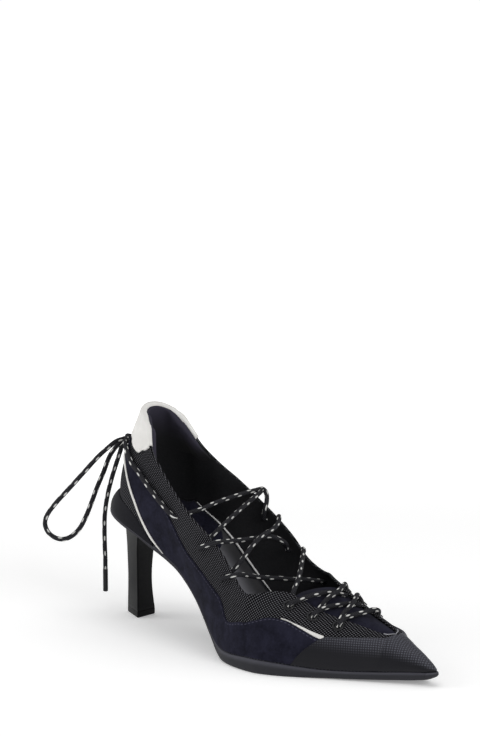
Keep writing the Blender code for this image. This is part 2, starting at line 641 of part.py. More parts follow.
def onto_slot(side, hole, u):
    """Points of a cord from a vamp eyelet to the edge of the lace slot."""
    lift = LACE_RADIUS + LACE_CLEAR
    half_way = on_skin(side, 0.5 * (hole[0] + u), 0.5 * (hole[1] + 1.0), lift + 0.1)
    return [outside(side, hole), half_way, on_skin(side, u, 1.0, lift + 0.2)]


def over_tongue(u, share, lift):
    """Point above the tongue, at a share of the slot's half width."""
    across = share * section(u)["top_half"] / tongue_half(u)
    return tongue_point(u, across) + np.array((0.0, 0.0, LACE_RADIUS + lift))


def make_laces():
    toe_bar = onto_slot(LATERAL, EYELETS["vamp_3"], 190.0)
    toe_bar.append(over_tongue(190.0, 0.0, 0.8))
    toe_bar += onto_slot(MEDIAL, EYELETS["vamp_3"], 190.0)[::-1]
    cord("lace_bar_toe", toe_bar, LACE_RADIUS, LACE_CORD)
    low_cross = over_tongue(180.5, 0.0, 1.0)
    joined_cords("lace_cross_1", (
        onto_slot(LATERAL, EYELETS["vamp_2"], 176.0) + [low_cross, over_tongue(184.5, 0.74, 1.2)],
        [over_tongue(185.0, -0.74, 1.2), low_cross] + onto_slot(MEDIAL, EYELETS["vamp_2"], 175.0)[::-1],
    ))
    high_cross = over_tongue(166.5, 0.05, 1.2)
    joined_cords("lace_cross_2", (
        onto_slot(LATERAL, EYELETS["vamp_1"], 162.0) + [high_cross, over_tongue(170.0, 0.8, 1.2)],
        [over_tongue(172.0, -0.8, 1.2), high_cross] + onto_slot(MEDIAL, EYELETS["vamp_1"], 160.5)[::-1],
    ))
    throat_cross = (136.6, 4.2, 44.7)
    joined_cords("lace_cross_3", (
        up_and_over(LATERAL, OUTER_HOLES["front"], 119.5)
        + [throat_cross, inside(MEDIAL, INNER_HOLES["front"])],
        [(153.5, -16.2, 44.0), throat_cross, over_edge(MEDIAL, 118.3)],
    ))
    instep_cross = (106.0, 5.9, 60.6)
    joined_cords("lace_cross_4", (
        up_and_over(LATERAL, OUTER_HOLES["middle"], 97.5)
        + [instep_cross, inside(MEDIAL, INNER_HOLES["middle"])],
        [inside(LATERAL, OUTER_HOLES["front"]), instep_cross, over_edge(MEDIAL, 101.0)],
    ))
    top_turn = over_edge(MEDIAL, 82.0)
    inward = 0.5 * WALL + LACE_RADIUS + LACE_CLEAR
    inner_turn = over_edge(MEDIAL, 84.0) - inward * skin_normal(MEDIAL, 84.0, 1.0)
    joined_cords("lace_cross_5", (
        [inside(LATERAL, OUTER_HOLES["back"]), top_turn],
        [inside(LATERAL, OUTER_HOLES["middle"]), top_turn],
        [top_turn, inner_turn, inside(MEDIAL, INNER_HOLES["back"])],
    ))


def knot_exit(side, way):
    """First two points of a cord that leaves the knot."""
    middle = on_skin(LATERAL, BACK_U, KNOT_V, KNOT_LIFT)
    out = np.array(KNOT_EXITS[side][way])
    out = out / np.linalg.norm(out)
    start = middle + out * KNOT_SIZE
    normal = out / KNOT_SIZE / np.linalg.norm(out / KNOT_SIZE)
    return [start + KNOT_GAP * normal, start + (KNOT_GAP + 4.0) * normal]


def make_bow():
    knot_at = on_skin(LATERAL, BACK_U, KNOT_V, KNOT_LIFT)
    bm = bmesh.new()
    bmesh.ops.create_uvsphere(bm, u_segments=12, v_segments=8, radius=MM)
    bmesh.ops.scale(bm, vec=KNOT_SIZE, verts=bm.verts)
    bmesh.ops.translate(bm, vec=metres(knot_at), verts=bm.verts)
    finish("lace_knot", bm, LACE_CORD, 180.0)
    for side, side_name in ((LATERAL, "lateral"), (MEDIAL, "medial")):
        run = [on_skin(side, *row) for row in RUN_START[side] + RUN_BACK] + knot_exit(side, "run")[::-1]
        loop = knot_exit(side, "loop_out") + list(BOW_LOOPS[side]) + knot_exit(side, "loop_back")[::-1]
        end = knot_exit(side, "end") + list(BOW_ENDS[side])
        cord("lace_run_" + side_name, run, LACE_RADIUS, LACE_CORD, BOW_SPACING)
        cord("lace_loop_" + side_name, loop, LACE_RADIUS, LACE_CORD, BOW_SPACING)
        cord("lace_end_" + side_name, end, LACE_RADIUS, LACE_CORD, BOW_SPACING)
        x, y, z = BOW_ENDS[side][-1]
        tip = ((x, y, z - SEAT_GAP), (x, y, z - AGLET_LENGTH))
        cord("aglet_" + side_name, tip, AGLET_RADIUS, AGLET_PLASTIC, AGLET_LENGTH)


def make_piping():
    stations = [52.0, 48.5, 44.5, 40.0, 36.0, 31.5, 26.8, 22.1, 16.3, 10.0, 3.0, -4.0]
    lift = SEAT_GAP + PIPING_RADIUS
    halves = {}
    for side in (LATERAL, MEDIAL):
        halves[side] = [on_skin(side, u, max(seam(PIPING_LINE)(u), PIPING_END_V), lift) for u in stations]
    back = on_skin(LATERAL, BACK_U, PIPING_LINE[0][1], lift)
    cord("piping", halves[LATERAL] + [back] + halves[MEDIAL][::-1], PIPING_RADIUS, WHITE_LEATHER, BOW_SPACING)


make_outsole()
make_heel()
make_insole()
make_upper()
make_tongue()
make_overlays()
make_piping()
make_laces()
make_bow()
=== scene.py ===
import functools
import math

import bmesh
import bpy
import numpy as np
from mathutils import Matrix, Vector


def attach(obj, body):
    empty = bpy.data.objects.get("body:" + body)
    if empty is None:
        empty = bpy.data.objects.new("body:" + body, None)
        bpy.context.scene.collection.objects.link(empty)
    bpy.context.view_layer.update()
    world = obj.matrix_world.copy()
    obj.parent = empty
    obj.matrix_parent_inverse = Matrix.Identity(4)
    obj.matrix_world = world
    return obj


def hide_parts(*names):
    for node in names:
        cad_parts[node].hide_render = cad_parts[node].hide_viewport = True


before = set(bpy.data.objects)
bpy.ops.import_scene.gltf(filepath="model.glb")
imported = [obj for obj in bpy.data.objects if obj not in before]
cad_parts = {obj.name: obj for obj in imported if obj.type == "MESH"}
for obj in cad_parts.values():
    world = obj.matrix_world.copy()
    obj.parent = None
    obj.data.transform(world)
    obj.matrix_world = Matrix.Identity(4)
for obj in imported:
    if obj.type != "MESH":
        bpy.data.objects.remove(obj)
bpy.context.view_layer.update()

# Upper: black polyester spacer mesh, knitted in one piece and pulled over a last, with an open collar,
# a throat and a lace slot.  A thin lining is fused inside, and the top edge is folded over and closed.
MM = 0.001
TREAD_X = 145.0  # station of the frame's origin; stations count forward from the back of the heel, in mm
LATERAL, MEDIAL = -1, 1
SIDES = {LATERAL: "lateral", MEDIAL: "medial"}
LAST_COLUMNS = ("x", "feather_z", "lateral", "medial", "centre", "top_half", "top_z", "lean_low", "lean_top")
LAST = (
    (36.0, 64.3, 25.5, 25.0, 0.0, 16.5, 125.5, -8, 18),
    (42.3, 60.0, 25.7, 25.0, 0.0, 20.6, 114.2, -10, 14),
    (55.0, 52.8, 25.6, 24.0, 0.0, 24.2, 101.8, -12, 10),
    (71.0, 43.6, 24.8, 21.5, 0.0, 28.8, 90.0, -16, 6),
    (87.0, 28.6, 25.6, 20.5, 0.0, 31.4, 78.6, -18, 4),
    (103.0, 13.6, 31.0, 23.5, 0.0, 31.6, 68.4, -14, 8),
    (114.0, 8.0, 36.5, 27.0, 0.0, 32.0, 59.6, -8, 14),
    (124.0, 7.3, 41.4, 30.0, 0.0, 33.0, 48.8, -4, 20),
    (130.0, 7.4, 43.4, 31.6, 0.0, 34.8, 44.2, -2, 24),
    (137.0, 7.8, 44.9, 33.0, 0.2, 36.0, 41.6, 0, 28),
    (141.5, 8.2, 45.5, 33.8, 0.3, 33.2, 41.8, 1, 36),
    (145.0, 8.4, 45.8, 34.2, 0.4, 29.6, 42.8, 2, 44),
    (150.0, 8.5, 45.8, 34.8, 0.5, 24.8, 43.5, 3, 54),
    (156.0, 8.3, 44.6, 35.2, 0.8, 20.8, 42.8, 4, 62),
    (162.0, 7.9, 42.4, 35.3, 1.0, 18.8, 40.2, 5, 68),
    (176.0, 6.4, 35.2, 33.2, 1.8, 16.0, 34.4, 6, 72),
    (190.0, 5.4, 27.4, 27.4, 2.7, 12.0, 30.8, 6, 72),
    (203.0, 5.7, 20.8, 20.4, 3.5, 8.4, 27.6, 6, 74),
    (209.0, 6.0, 17.7, 17.2, 3.9, 6.6, 26.0, 6, 78),
    (212.5, 6.2, 15.9, 15.4, 4.2, 4.4, 25.2, 6, 82),
    (214.5, 6.3, 14.9, 14.4, 4.3, 0.0, 24.8, 6, 86),
    (224.0, 7.0, 10.0, 9.8, 5.0, 0.0, 19.8, 6, 88),
    (233.0, 7.6, 5.4, 5.4, 5.5, 0.0, 15.0, 4, 84),
    (238.5, 8.0, 2.8, 2.8, 5.8, 0.0, 11.6, 2, 60),
    (241.5, 8.2, 0.0, 0.0, 6.0, 0.0, 10.0, 0, 0),
)
HEEL_X, TIP_X, SLOT_END_X = 36.0, 241.5, 214.5
FAN_LENGTH = 46.0
BACK_U = HEEL_X - FAN_LENGTH
BACK_SEAM = {
    "foot": 32.0, "feather_z": 76.5, "top_half": 13.5, "top_z": 136.5, "lean_low": -4.0, "lean_top": 22.0,
}
RIB_PULL, TOP_DROP = 0.38, 2.2
WALL = 1.6


def along(rows, x, column=1):
    """Smooth value of one column at x, level where its neighbours turn."""
    xs = [row[0] for row in rows]
    ys = [row[column] for row in rows]
    i = int(np.clip(np.searchsorted(xs, x) - 1, 0, len(xs) - 2))

    def slope(k):
        steps = [(ys[j + 1] - ys[j]) / (xs[j + 1] - xs[j]) for j in (k - 1, k) if 0 <= j < len(xs) - 1]
        if len(steps) == 1:
            return steps[0]
        if steps[0] * steps[1] <= 0:
            return 0.0
        before, after = xs[k] - xs[k - 1], xs[k + 1] - xs[k]
        return (steps[0] * after + steps[1] * before) / (before + after)

    span = xs[i + 1] - xs[i]
    t = min(max((x - xs[i]) / span, 0.0), 1.0)
    start = (2 * t ** 3 - 3 * t ** 2 + 1) * ys[i] + (t ** 3 - 2 * t ** 2 + t) * span * slope(i)
    end = (-2 * t ** 3 + 3 * t ** 2) * ys[i + 1] + (t ** 3 - t ** 2) * span * slope(i + 1)
    return start + end


@functools.lru_cache(maxsize=None)
def section(x):
    return {name: along(LAST, x, k) for k, name in enumerate(LAST_COLUMNS) if k}


def rib(foot, feather_z, top_half, top_z, lean_low, lean_top, v):
    """Half width and height at v, from 0 at the sole to 1 at the top line."""
    pull = RIB_PULL * math.hypot(top_half - foot, top_z - feather_z)
    a, b = math.radians(lean_low), math.radians(lean_top)
    low_arm = (foot - pull * math.sin(a), feather_z + pull * math.cos(a))
    top_arm = (top_half + pull * math.sin(b), top_z - pull * math.cos(b))
    w = 1.0 - v
    shares = (w ** 3, 3 * w * w * v, 3 * w * v * v, v ** 3)
    corners = ((foot, feather_z), low_arm, top_arm, (top_half, top_z))
    return [sum(s * c[k] for s, c in zip(shares, corners)) for k in (0, 1)]


def skin(side, u, v):
    """Point on the outside of the upper in mm; u is the station, and runs on round the heel to BACK_U."""
    s = section(max(u, HEEL_X))
    foot = s["lateral"] if side == LATERAL else s["medial"]
    if u >= HEEL_X:
        r, z = rib(foot, s["feather_z"], s["top_half"], s["top_z"], s["lean_low"], s["lean_top"], v)
        return np.array((u, s["centre"] + side * r, z))
    turn = (HEEL_X - u) / FAN_LENGTH * math.pi / 2
    back, out = math.sin(turn), math.cos(turn)
    share = min(max(1.0 - (HEEL_X - u) / FAN_LENGTH, 0.0), 1.0)
    ease = share * share * (3 - 2 * share)
    radius = 1.0 / math.hypot(back / BACK_SEAM["foot"], out / foot)
    top_radius = 1.0 / math.hypot(back / BACK_SEAM["top_half"], out / s["top_half"])
    forward = 1.0 - back * radius / BACK_SEAM["foot"]

    def blend(key, amount):
        return BACK_SEAM[key] + (s[key] - BACK_SEAM[key]) * amount

    r, z = rib(radius, blend("feather_z", forward), top_radius, blend("top_z", share ** TOP_DROP),
               blend("lean_low", ease), blend("lean_top", ease), v)
    return np.array((HEEL_X - back * r, side * out * r, z))


STEP_U, STEP_V = 0.4, 0.01


def skin_normal(side, u, v):
    """Direction out of the wall, from short steps along it and up it."""
    if u >= TIP_X:
        return np.array((1.0, 0.0, 0.0))
    u0, u1 = max(u - STEP_U, BACK_U), min(u + STEP_U, TIP_X)
    v0, v1 = max(v - STEP_V, 0.0), min(v + STEP_V, 1.0)
    normal = -side * np.cross(skin(side, u1, v) - skin(side, u0, v), skin(side, u, v1) - skin(side, u, v0))
    if u <= BACK_U or (v >= 1.0 and u >= SLOT_END_X):
        normal[1] = 0.0
    return normal / np.linalg.norm(normal)


def on_skin(side, u, v, lift):
    return skin(side, u, v) + (lift * skin_normal(side, u, v) if lift else 0.0)


def metres(point):
    return Vector(((point[0] - TREAD_X) * MM, point[1] * MM, point[2] * MM))


def spread(start, stop, step):
    count = max(2, round((stop - start) / step))
    return [start + (stop - start) * k / count for k in range(count + 1)]


RIB_STEPS, LEAST_RIB = 8, 0.2
GIRTH_STEP, GIRTH_V = 4.0, 0.55


@functools.lru_cache(maxsize=None)
def rib_length(side, u):
    """Length of the wall from the sole to the top line, in mm."""
    points = [skin(side, u, k / RIB_STEPS) for k in range(RIB_STEPS + 1)]
    return max(sum(np.linalg.norm(b - a) for a, b in zip(points, points[1:])), LEAST_RIB)


@functools.lru_cache(maxsize=None)
def girth(side, u):
    """Distance along the middle of the wall from the back seam, in mm."""
    marks = spread(BACK_U, u, GIRTH_STEP) if u - BACK_U > 0.01 else [BACK_U, BACK_U]
    points = [skin(side, m, GIRTH_V) for m in marks]
    return sum(np.linalg.norm(b - a) for a, b in zip(points, points[1:]))


KNIT_LEAN, LEAN_FROM, LEAN_TO = 0.2, 100.0, 150.0


def cloth_spot(side, u, v):
    """Place on the unrolled wall in mm; the rows run level, and the cloth is drawn forward over the vamp."""
    up = skin(side, u, 0.0)[2] + v * rib_length(side, u)
    drawn = min(max((u - LEAN_FROM) / (LEAN_TO - LEAN_FROM), 0.0), 1.0)
    return (girth(side, u) + KNIT_LEAN * drawn * drawn * (3 - 2 * drawn) * up, up)


def lay_grid(bm, columns, rows, where, **layers):
    """Grid of the given counts whose points lie where(i, j) says, with a UV layer for each function."""
    verts = bmesh.ops.create_grid(bm, x_segments=columns - 1, y_segments=rows - 1, size=1.0)["verts"]
    spot = {}
    for vert in verts:
        spot[vert] = (round((vert.co.x + 1) / 2 * (columns - 1)), round((vert.co.y + 1) / 2 * (rows - 1)))
    faces = {face for vert in verts for face in vert.link_faces}
    for name, read in layers.items():
        layer = bm.loops.layers.uv.get(name) or bm.loops.layers.uv.new(name)
        for face in faces:
            for loop in face.loops:
                loop[layer].uv = read(*spot[loop.vert])
    for vert, (i, j) in spot.items():
        vert.co = metres(where(i, j))
    return spot


def lay_side(bm, side, stations, rows, where, turned=False, **layers):
    """Grid along one side of the shoe; where and each layer take the side, a station and a row.

    Faces look outwards if the rows run up the wall, and the other way if the grid is turned."""
    count = len(stations)

    def at(i):
        return stations[i if (side == LATERAL) != turned else count - 1 - i]

    def on_grid(read):
        return lambda i, j: read(side, at(i), j)

    spot = lay_grid(bm, count, rows, on_grid(where), **{name: on_grid(read) for name, read in layers.items()})
    return {vert: (at(i), j) for vert, (i, j) in spot.items()}


WELD = 0.000004  # metres


def finish_piece(name, bm, look, nodes=()):
    """Weld a piece, put it into the scene and fix it to the shoe."""
    bmesh.ops.remove_doubles(bm, verts=bm.verts, dist=WELD)
    bmesh.ops.dissolve_degenerate(bm, edges=bm.edges, dist=0.5 * WELD)
    mesh = bpy.data.meshes.new(name)
    bm.to_mesh(mesh)
    bm.free()
    mesh.materials.append(look)
    mesh.shade_smooth()
    piece = bpy.data.objects.new(name, mesh)
    bpy.context.scene.collection.objects.link(piece)
    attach(piece, "root")
    if nodes:
        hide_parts(*nodes)
    return piece


def linear(code):
    """Linear colour from an sRGB hex code."""
    values = [int(code[i:i + 2], 16) / 255 for i in (0, 2, 4)]
    return tuple(c / 12.92 if c <= 0.04045 else ((c + 0.055) / 1.055) ** 2.4 for c in values) + (1.0,)


def feed(tree, node, *sources, **named):
    """Fill sockets, in order or by name, from values, sRGB codes, outputs or the first output of nodes."""
    sockets = [socket for socket in node.inputs if socket.enabled][:len(sources)]
    sockets += [node.inputs[name.replace("_", " ")] for name in named]
    for socket, source in zip(sockets, [*sources, *named.values()]):
        if isinstance(source, bpy.types.Node):
            source = next(output for output in source.outputs if output.enabled)
        if isinstance(source, bpy.types.NodeSocket):
            tree.links.new(source, socket)
        else:
            socket.default_value = linear(source) if isinstance(source, str) else source


def add(tree, kind, *sources, **named):
    """One shader node; names in lower case are its settings, and the others are sockets to fill."""
    node = tree.nodes.new("ShaderNode" + kind)
    for name in filter(str.islower, named):
        setattr(node, name, named[name])
    feed(tree, node, *sources, **{name: value for name, value in named.items() if not name.islower()})
    return node


def new_material(name, **sockets):
    """Material with its constant sockets set, and its nodes."""
    made = bpy.data.materials.new(name)
    made.use_nodes = True
    feed(made.node_tree, made.node_tree.nodes["Principled BSDF"], **sockets)
    return made, made.node_tree


def dress(tree, tone, dark, light, height, strength, depth_mm):
    """Colour a surface from dark to light by a tone, and raise it by a height."""
    colour = add(tree, "Mix", tone, dark, light, data_type="RGBA")
    bump = add(tree, "Bump", Strength=strength, Distance=depth_mm * MM, Height=height)
    feed(tree, tree.nodes["Principled BSDF"], Base_Color=colour, Normal=bump)


def ovals(tree, place, shift, half, limits):
    """One soft oval in each cell of a pattern, 1 within and 0 outside; half sizes are shares of a cell."""
    cell = add(tree, "VectorMath", place, (*shift, 0.0), operation="ADD")
    cell = add(tree, "VectorMath", cell, operation="FRACTION")
    cell = add(tree, "VectorMath", cell, (1 / half[0], 1 / half[1], 0.0),
               (-0.5 / half[0], -0.5 / half[1], 0.0), operation="MULTIPLY_ADD")
    return add(tree, "MapRange", add(tree, "VectorMath", cell, operation="LENGTH"), *limits)


# Knitted polyester spacer mesh: black, matt and dry to the eye, with small raised bumps in staggered rows,
# each painted pale as a painted highlight on the raised threads.
# Bumps stand 2 mm apart in rows 0.95 mm apart, a little coarser than the real knit so that they show.
KNIT_STEP, ROW_STEP, BUMP_HALF, BUMP_LIMITS = 2.0, 0.95, (0.44, 0.37), (1.2, 0.7)
black_mesh, tree = new_material("black_knitted_mesh", Roughness=0.9, Specular_IOR_Level=0.06)
knit_place = add(tree, "VectorMath", add(tree, "UVMap", uv_map="surface"),
                 (1 / KNIT_STEP, 0.5 / ROW_STEP, 0.0), operation="MULTIPLY")
bump_share = (BUMP_HALF[0] / KNIT_STEP, BUMP_HALF[1] / (2 * ROW_STEP))
bump_rows = [ovals(tree, knit_place, (shift, shift), bump_share, BUMP_LIMITS) for shift in (0.0, 0.5)]
bumps = add(tree, "Math", *bump_rows, operation="MAXIMUM")
# painted highlight: the pale tone on each bump stands for light caught by the raised black threads
dress(tree, bumps, "060607", "646469", bumps, 0.6, 0.4)


def grained(name, dark, light, grain_mm, depth_mm, **sockets):
    """Material that wavers between two tones over grains of a given size, which also stand up a little."""
    made, tree = new_material(name, **sockets)
    spots = add(tree, "TexCoord").outputs["Object"]
    grain = add(tree, "TexNoise", Vector=spots, Scale=1 / (grain_mm * MM), Detail=3.0)
    dress(tree, add(tree, "MapRange", grain, 0.35, 0.65), dark, light, grain, 0.2, depth_mm)
    return made


# Brushed polyester lining: matt and faintly mottled, so the inside of the shoe falls dark.  The mottling,
# 1.2 mm, is coarser than the fibres so that it shows.
black_lining = grained("black_brushed_lining", "29292b", "2d2d2f", 1.2, 0.3, Roughness=1.0,
                       Specular_IOR_Level=0.03)

upper_stations = spread(BACK_U, HEEL_X, 1.2)
upper_stations += spread(HEEL_X, SLOT_END_X, 1.2)[1:] + spread(SLOT_END_X, TIP_X, 0.9)[1:]
OUTER_ROWS, RIM_ROWS, INNER_ROWS = 40, 6, 20
wall_rows = [("outer", k / OUTER_ROWS) for k in range(OUTER_ROWS + 1)]
wall_rows += [("rim", math.pi * k / RIM_ROWS) for k in range(1, RIM_ROWS)]
wall_rows += [("inner", 1.0 - k / INNER_ROWS) for k in range(INNER_ROWS + 1)] + [("outer", 0.0)]
NARROW_HALF = 4.0  # half width of the slot below which its rim is rounded less


def rim_way(side, u):
    """Direction square to the top line, away from the wall."""
    up = skin(side, u, 1.0) - skin(side, u, 0.98)
    edge = skin(side, min(u + 0.5, TIP_X), 1.0) - skin(side, max(u - 0.5, BACK_U), 1.0)
    up = up - edge * np.dot(up, edge) / np.dot(edge, edge)
    return up / np.linalg.norm(up)


def wall_point(side, u, j):
    kind, value = wall_rows[j]
    if kind == "outer":
        return skin(side, u, value)
    if kind == "inner":
        return on_skin(side, u, value, -WALL)
    normal = skin_normal(side, u, 1.0)
    rounding = 0.0 if u >= SLOT_END_X else min(section(max(u, HEEL_X))["top_half"] / NARROW_HALF, 1.0)
    middle = skin(side, u, 1.0) - 0.5 * WALL * normal
    return middle + 0.5 * WALL * (math.cos(value) * normal + math.sin(value) * rounding * rim_way(side, u))


def wall_spot(side, u, j):
    """Place of a wall point on the unrolled cloth, which runs on over the rim."""
    kind, value = wall_rows[j]
    across, up = cloth_spot(side, u, 1.0 if kind == "rim" else value)
    return (across, up + (0.5 * WALL * value if kind == "rim" else 0.0))


bm = bmesh.new()
closed_rim = []
for side in SIDES:
    spot = lay_side(bm, side, upper_stations, len(wall_rows), wall_point, surface=wall_spot)
    for face in {face for vert in spot for face in vert.link_faces}:
        where = [spot[vert] for vert in face.verts]
        face.material_index = int(all(j >= OUTER_ROWS + RIM_ROWS for u, j in where))
        if all(u >= SLOT_END_X and OUTER_ROWS <= j <= OUTER_ROWS + RIM_ROWS for u, j in where):
            closed_rim.append(face)
bmesh.ops.delete(bm, geom=closed_rim, context="FACES")
finish_piece("upper_mesh", bm, black_mesh, ["upper"]).data.materials.append(black_lining)

# Collar padding: thin foam under navy microfibre, sewn to the lining inside the collar at the heel; its upper
# edge is tucked under the fold of the heel tab.


def share_between(tree, low, high):
    """Soft step from 0 to 1 between two places on a piece's share map."""
    place = add(tree, "SeparateXYZ", add(tree, "UVMap", uv_map="share"))
    return add(tree, "MapRange", place.outputs["Y"], low, high, interpolation_type="SMOOTHSTEP")


# Navy microfibre: soft and dull and navy, with painted shade turning it near black further down inside.
FUZZ = 0.91  # mm, coarser than the fibres so that it shows
navy_lining, tree = new_material("navy_microfibre", Roughness=0.95, Specular_IOR_Level=0.06,
                                 Sheen_Weight=0.05, Sheen_Roughness=0.5)
spots = add(tree, "TexCoord").outputs["Object"]
fuzz = add(tree, "TexNoise", Vector=spots, Scale=1 / (FUZZ * MM), Detail=3.0)
# painted shade: darker grey further down inside the collar, where shade falls
dress(tree, share_between(tree, 0.25, 0.9), "2b2b2d", "36343f", fuzz, 0.25, 0.2)

PAD_LOW = ((-10.0, 0.50), (20.0, 0.52), (36.0, 0.62), (46.0, 0.80), (52.0, 0.95))
PAD_SWELL = ((-10.0, 2.0), (10.0, 2.6), (24.0, 5.4), (34.0, 5.4), (40.0, 4.0), (47.0, 1.6), (52.0, 0.3))
PAD_ROWS, ROLL_ROWS, PAD_FADE = 14, 10, 10.0
PAD_SINK, PAD_TOP, PAD_ROUND, ROLL_RISE, PAD_COVER = 0.3, 0.98, 1.6, 0.34, 0.9
pad_stations = spread(BACK_U, PAD_LOW[-1][0], 1.0)


def pad_point(side, u, j):
    """From the seam on the lining up the swell, then over its rolled edge and back to the wall."""
    low, swell = along(PAD_LOW, u), along(PAD_SWELL, u)
    t = min(j / PAD_ROWS, 1.0)
    full = math.sin(0.5 * math.pi * t) ** PAD_ROUND
    turn = math.pi * max(0, j - PAD_ROWS) / ROLL_ROWS
    depth = WALL - PAD_SINK + (swell + PAD_SINK) * full - 0.5 * swell * (1.0 - math.cos(turn))
    rise = ROLL_RISE * swell * math.sin(turn)
    return on_skin(side, u, low + (PAD_TOP - low) * t, -depth) + rise * rim_way(side, u)


# painted shade: this share turns the pad from navy to near black lower down inside, and also falls off
# towards the pad's front end
def pad_painted_shade_share(side, u, j):
    return (0.0, min(1.0, j / PAD_ROWS) * min(1.0, (pad_stations[-1] - u) / PAD_FADE))


def thicken(piece, thickness):
    """Give a sheet its thickness, inwards from the face that shows."""
    wall = piece.modifiers.new("thickness", "SOLIDIFY")
    wall.thickness = thickness * MM
    wall.offset = -1.0


bm = bmesh.new()
for side in SIDES:
    lay_side(bm, side, pad_stations, PAD_ROWS + ROLL_ROWS + 1, pad_point, turned=True, share=pad_painted_shade_share)
collar = finish_piece("collar_padding", bm, navy_lining, ())
thicken(collar, PAD_COVER)

# Side panels: navy suede cut to one curved shape on each side, sewn over the mesh from the back seam to
# the toe cap with one row of stitches along the upper edge.
# Brushed suede: dull navy with a nap that shifts in tone in soft patches; fine lighter stitches at the edge.
NAP, BRUSHED_PATCH = 1.43, 9.09  # mm; the nap is coarser than real so that it shows
navy_suede, tree = new_material("navy_brushed_suede", Roughness=1.0, Specular_IOR_Level=0.02,
                                Sheen_Weight=0.03, Sheen_Roughness=0.6)
spots = add(tree, "TexCoord").outputs["Object"]
nap = add(tree, "TexNoise", Vector=spots, Scale=1 / (NAP * MM), Detail=4.0)
brushed = add(tree, "TexNoise", Vector=spots, Scale=1 / (BRUSHED_PATCH * MM), Detail=3.0, Distortion=0.6)
patches = add(tree, "Math", add(tree, "MapRange", brushed, 0.3, 0.7), 0.6, -0.1, operation="MULTIPLY_ADD")
nap_mix = add(tree, "Math", nap, 0.6, patches, operation="MULTIPLY_ADD", use_clamp=True)
suede_colour = add(tree, "Mix", nap_mix, "101018", "2a2a39", data_type="RGBA")
STITCH_STEP, STITCH_IN, STITCH_HALF, STITCH_LIMITS = 2.4, 1.5, (0.75, 0.32), (1.2, 0.8)
stitch_place = add(tree, "VectorMath", add(tree, "UVMap", uv_map="edge"), (1 / STITCH_STEP, 1.0, 0.0),
                   (0.0, -STITCH_IN, 0.0), operation="MULTIPLY_ADD")
stitch_cell = add(tree, "SeparateXYZ", stitch_place)
stitch_run = add(tree, "Math", stitch_cell.outputs["X"], 0.5, operation="PINGPONG")
stitch_far = add(tree, "CombineXYZ", stitch_run, stitch_cell.outputs["Y"])
stitch_far = add(tree, "VectorMath", stitch_far, (STITCH_STEP / STITCH_HALF[0], 1 / STITCH_HALF[1], 0.0),
                 operation="MULTIPLY")
stitch_far = add(tree, "VectorMath", stitch_far, operation="LENGTH")
stitches = add(tree, "MapRange", stitch_far, *STITCH_LIMITS)
dress(tree, stitches, suede_colour, "40404e", nap, 0.35, 0.25)

PIPING_LINE = (
    (-10.0, 0.520), (7.5, 0.515), (16.3, 0.500), (19.8, 0.480), (27.0, 0.388), (31.2, 0.316), (35.4, 0.240),
    (39.5, 0.192), (44.3, 0.138), (48.8, 0.085), (53.2, 0.046), (56.5, 0.026), (58.5, 0.012),
)
SUEDE_TOP = (
    (-10.0, 0.76), (0.0, 0.75), (8.0, 0.73), (14.0, 0.68), (19.8, 0.64), (25.2, 0.615), (31.8, 0.588),
    (39.9, 0.628), (47.7, 0.684), (55.9, 0.702), (62.0, 0.694), (66.0, 0.668), (70.0, 0.63), (75.0, 0.58),
    (82.6, 0.535), (89.2, 0.55), (97.4, 0.58), (104.9, 0.588), (111.6, 0.598), (117.0, 0.594), (120.6, 0.545),
    (123.3, 0.478), (125.8, 0.44), (131.3, 0.488), (137.3, 0.552), (143.0, 0.545), (148.8, 0.55),
    (153.1, 0.572), (160.5, 0.592), (163.6, 0.594), (168.9, 0.572), (174.7, 0.541), (179.3, 0.505),
    (182.1, 0.486), (184.5, 0.470),
)
CAP_EDGE = (
    (170.9, 0.0), (173.0, 0.113), (175.0, 0.20), (176.6, 0.265), (179.0, 0.356), (181.3, 0.439),
    (184.1, 0.528), (188.8, 0.571), (195.4, 0.634), (201.9, 0.704), (208.2, 0.785), (212.2, 0.83),
    (214.2, 0.86), (215.3, 0.94), (216.2, 1.0), (241.5, 1.0),
)
FOOT_V, PIPING_GAP, CAP_TUCK = 0.004, 0.012, 0.02
SUEDE_FOOT = ((58.5, 0.024), (63.0, 0.008), (68.0, FOOT_V), (171.0, FOOT_V))
OVERLAY, RIM_LIFT, EDGE_ROUND = 1.0, 0.1, 0.9
EDGE_TICKS, WIDEST_BORDER = (0.0, 0.08, 0.25, 0.55, 1.0), 0.45


def overlay_rows(low, high, border, rows, round_high):
    """Heights up the wall across an overlay, closer at its edges, each with its share of the full lift."""
    border = min(border, (high - low) * WIDEST_BORDER)
    start = [(low + border * t, t) for t in EDGE_TICKS]
    stop = [(high - border * t, t if round_high else 1.0) for t in EDGE_TICKS[::-1]]
    first, last = start[-1][0], stop[0][0]
    middle = [(first + (last - first) * k / rows, 1.0) for k in range(1, rows)]
    return [(v, math.sqrt(max(0.0, 1.0 - (1.0 - t) ** 2))) for v, t in start + middle + stop]


def lay_overlay(bm, side, stations, low, high, rows, full_lift=OVERLAY, join_high=False,
                end_share=lambda u: 1.0, dent=lambda u, v: 0.0):
    """Cloth or leather laid on the upper between two edges, its rim rounded down to the wall."""
    profiles = {}
    for u in stations:
        round_high = not (join_high and high(u) > 0.999)
        profile = overlay_rows(low(u), high(u), EDGE_ROUND / rib_length(side, u), rows, round_high)
        profiles[u] = [(v, RIM_LIFT + (full_lift - RIM_LIFT) * t * end_share(u)) for v, t in profile]

    def where(side, u, j):
        v, lift = profiles[u][j]
        return on_skin(side, u, v, lift - dent(u, v))

    def surface(side, u, j):
        return cloth_spot(side, u, profiles[u][j][0])

    def share(side, u, j):
        return (u / TIP_X, profiles[u][j][0])

    def edge(side, u, j):
        return (girth(side, u), (high(u) - profiles[u][j][0]) * rib_length(side, u))

    row_count = len(profiles[stations[0]])
    lay_side(bm, side, stations, row_count, where, surface=surface, share=share, edge=edge)


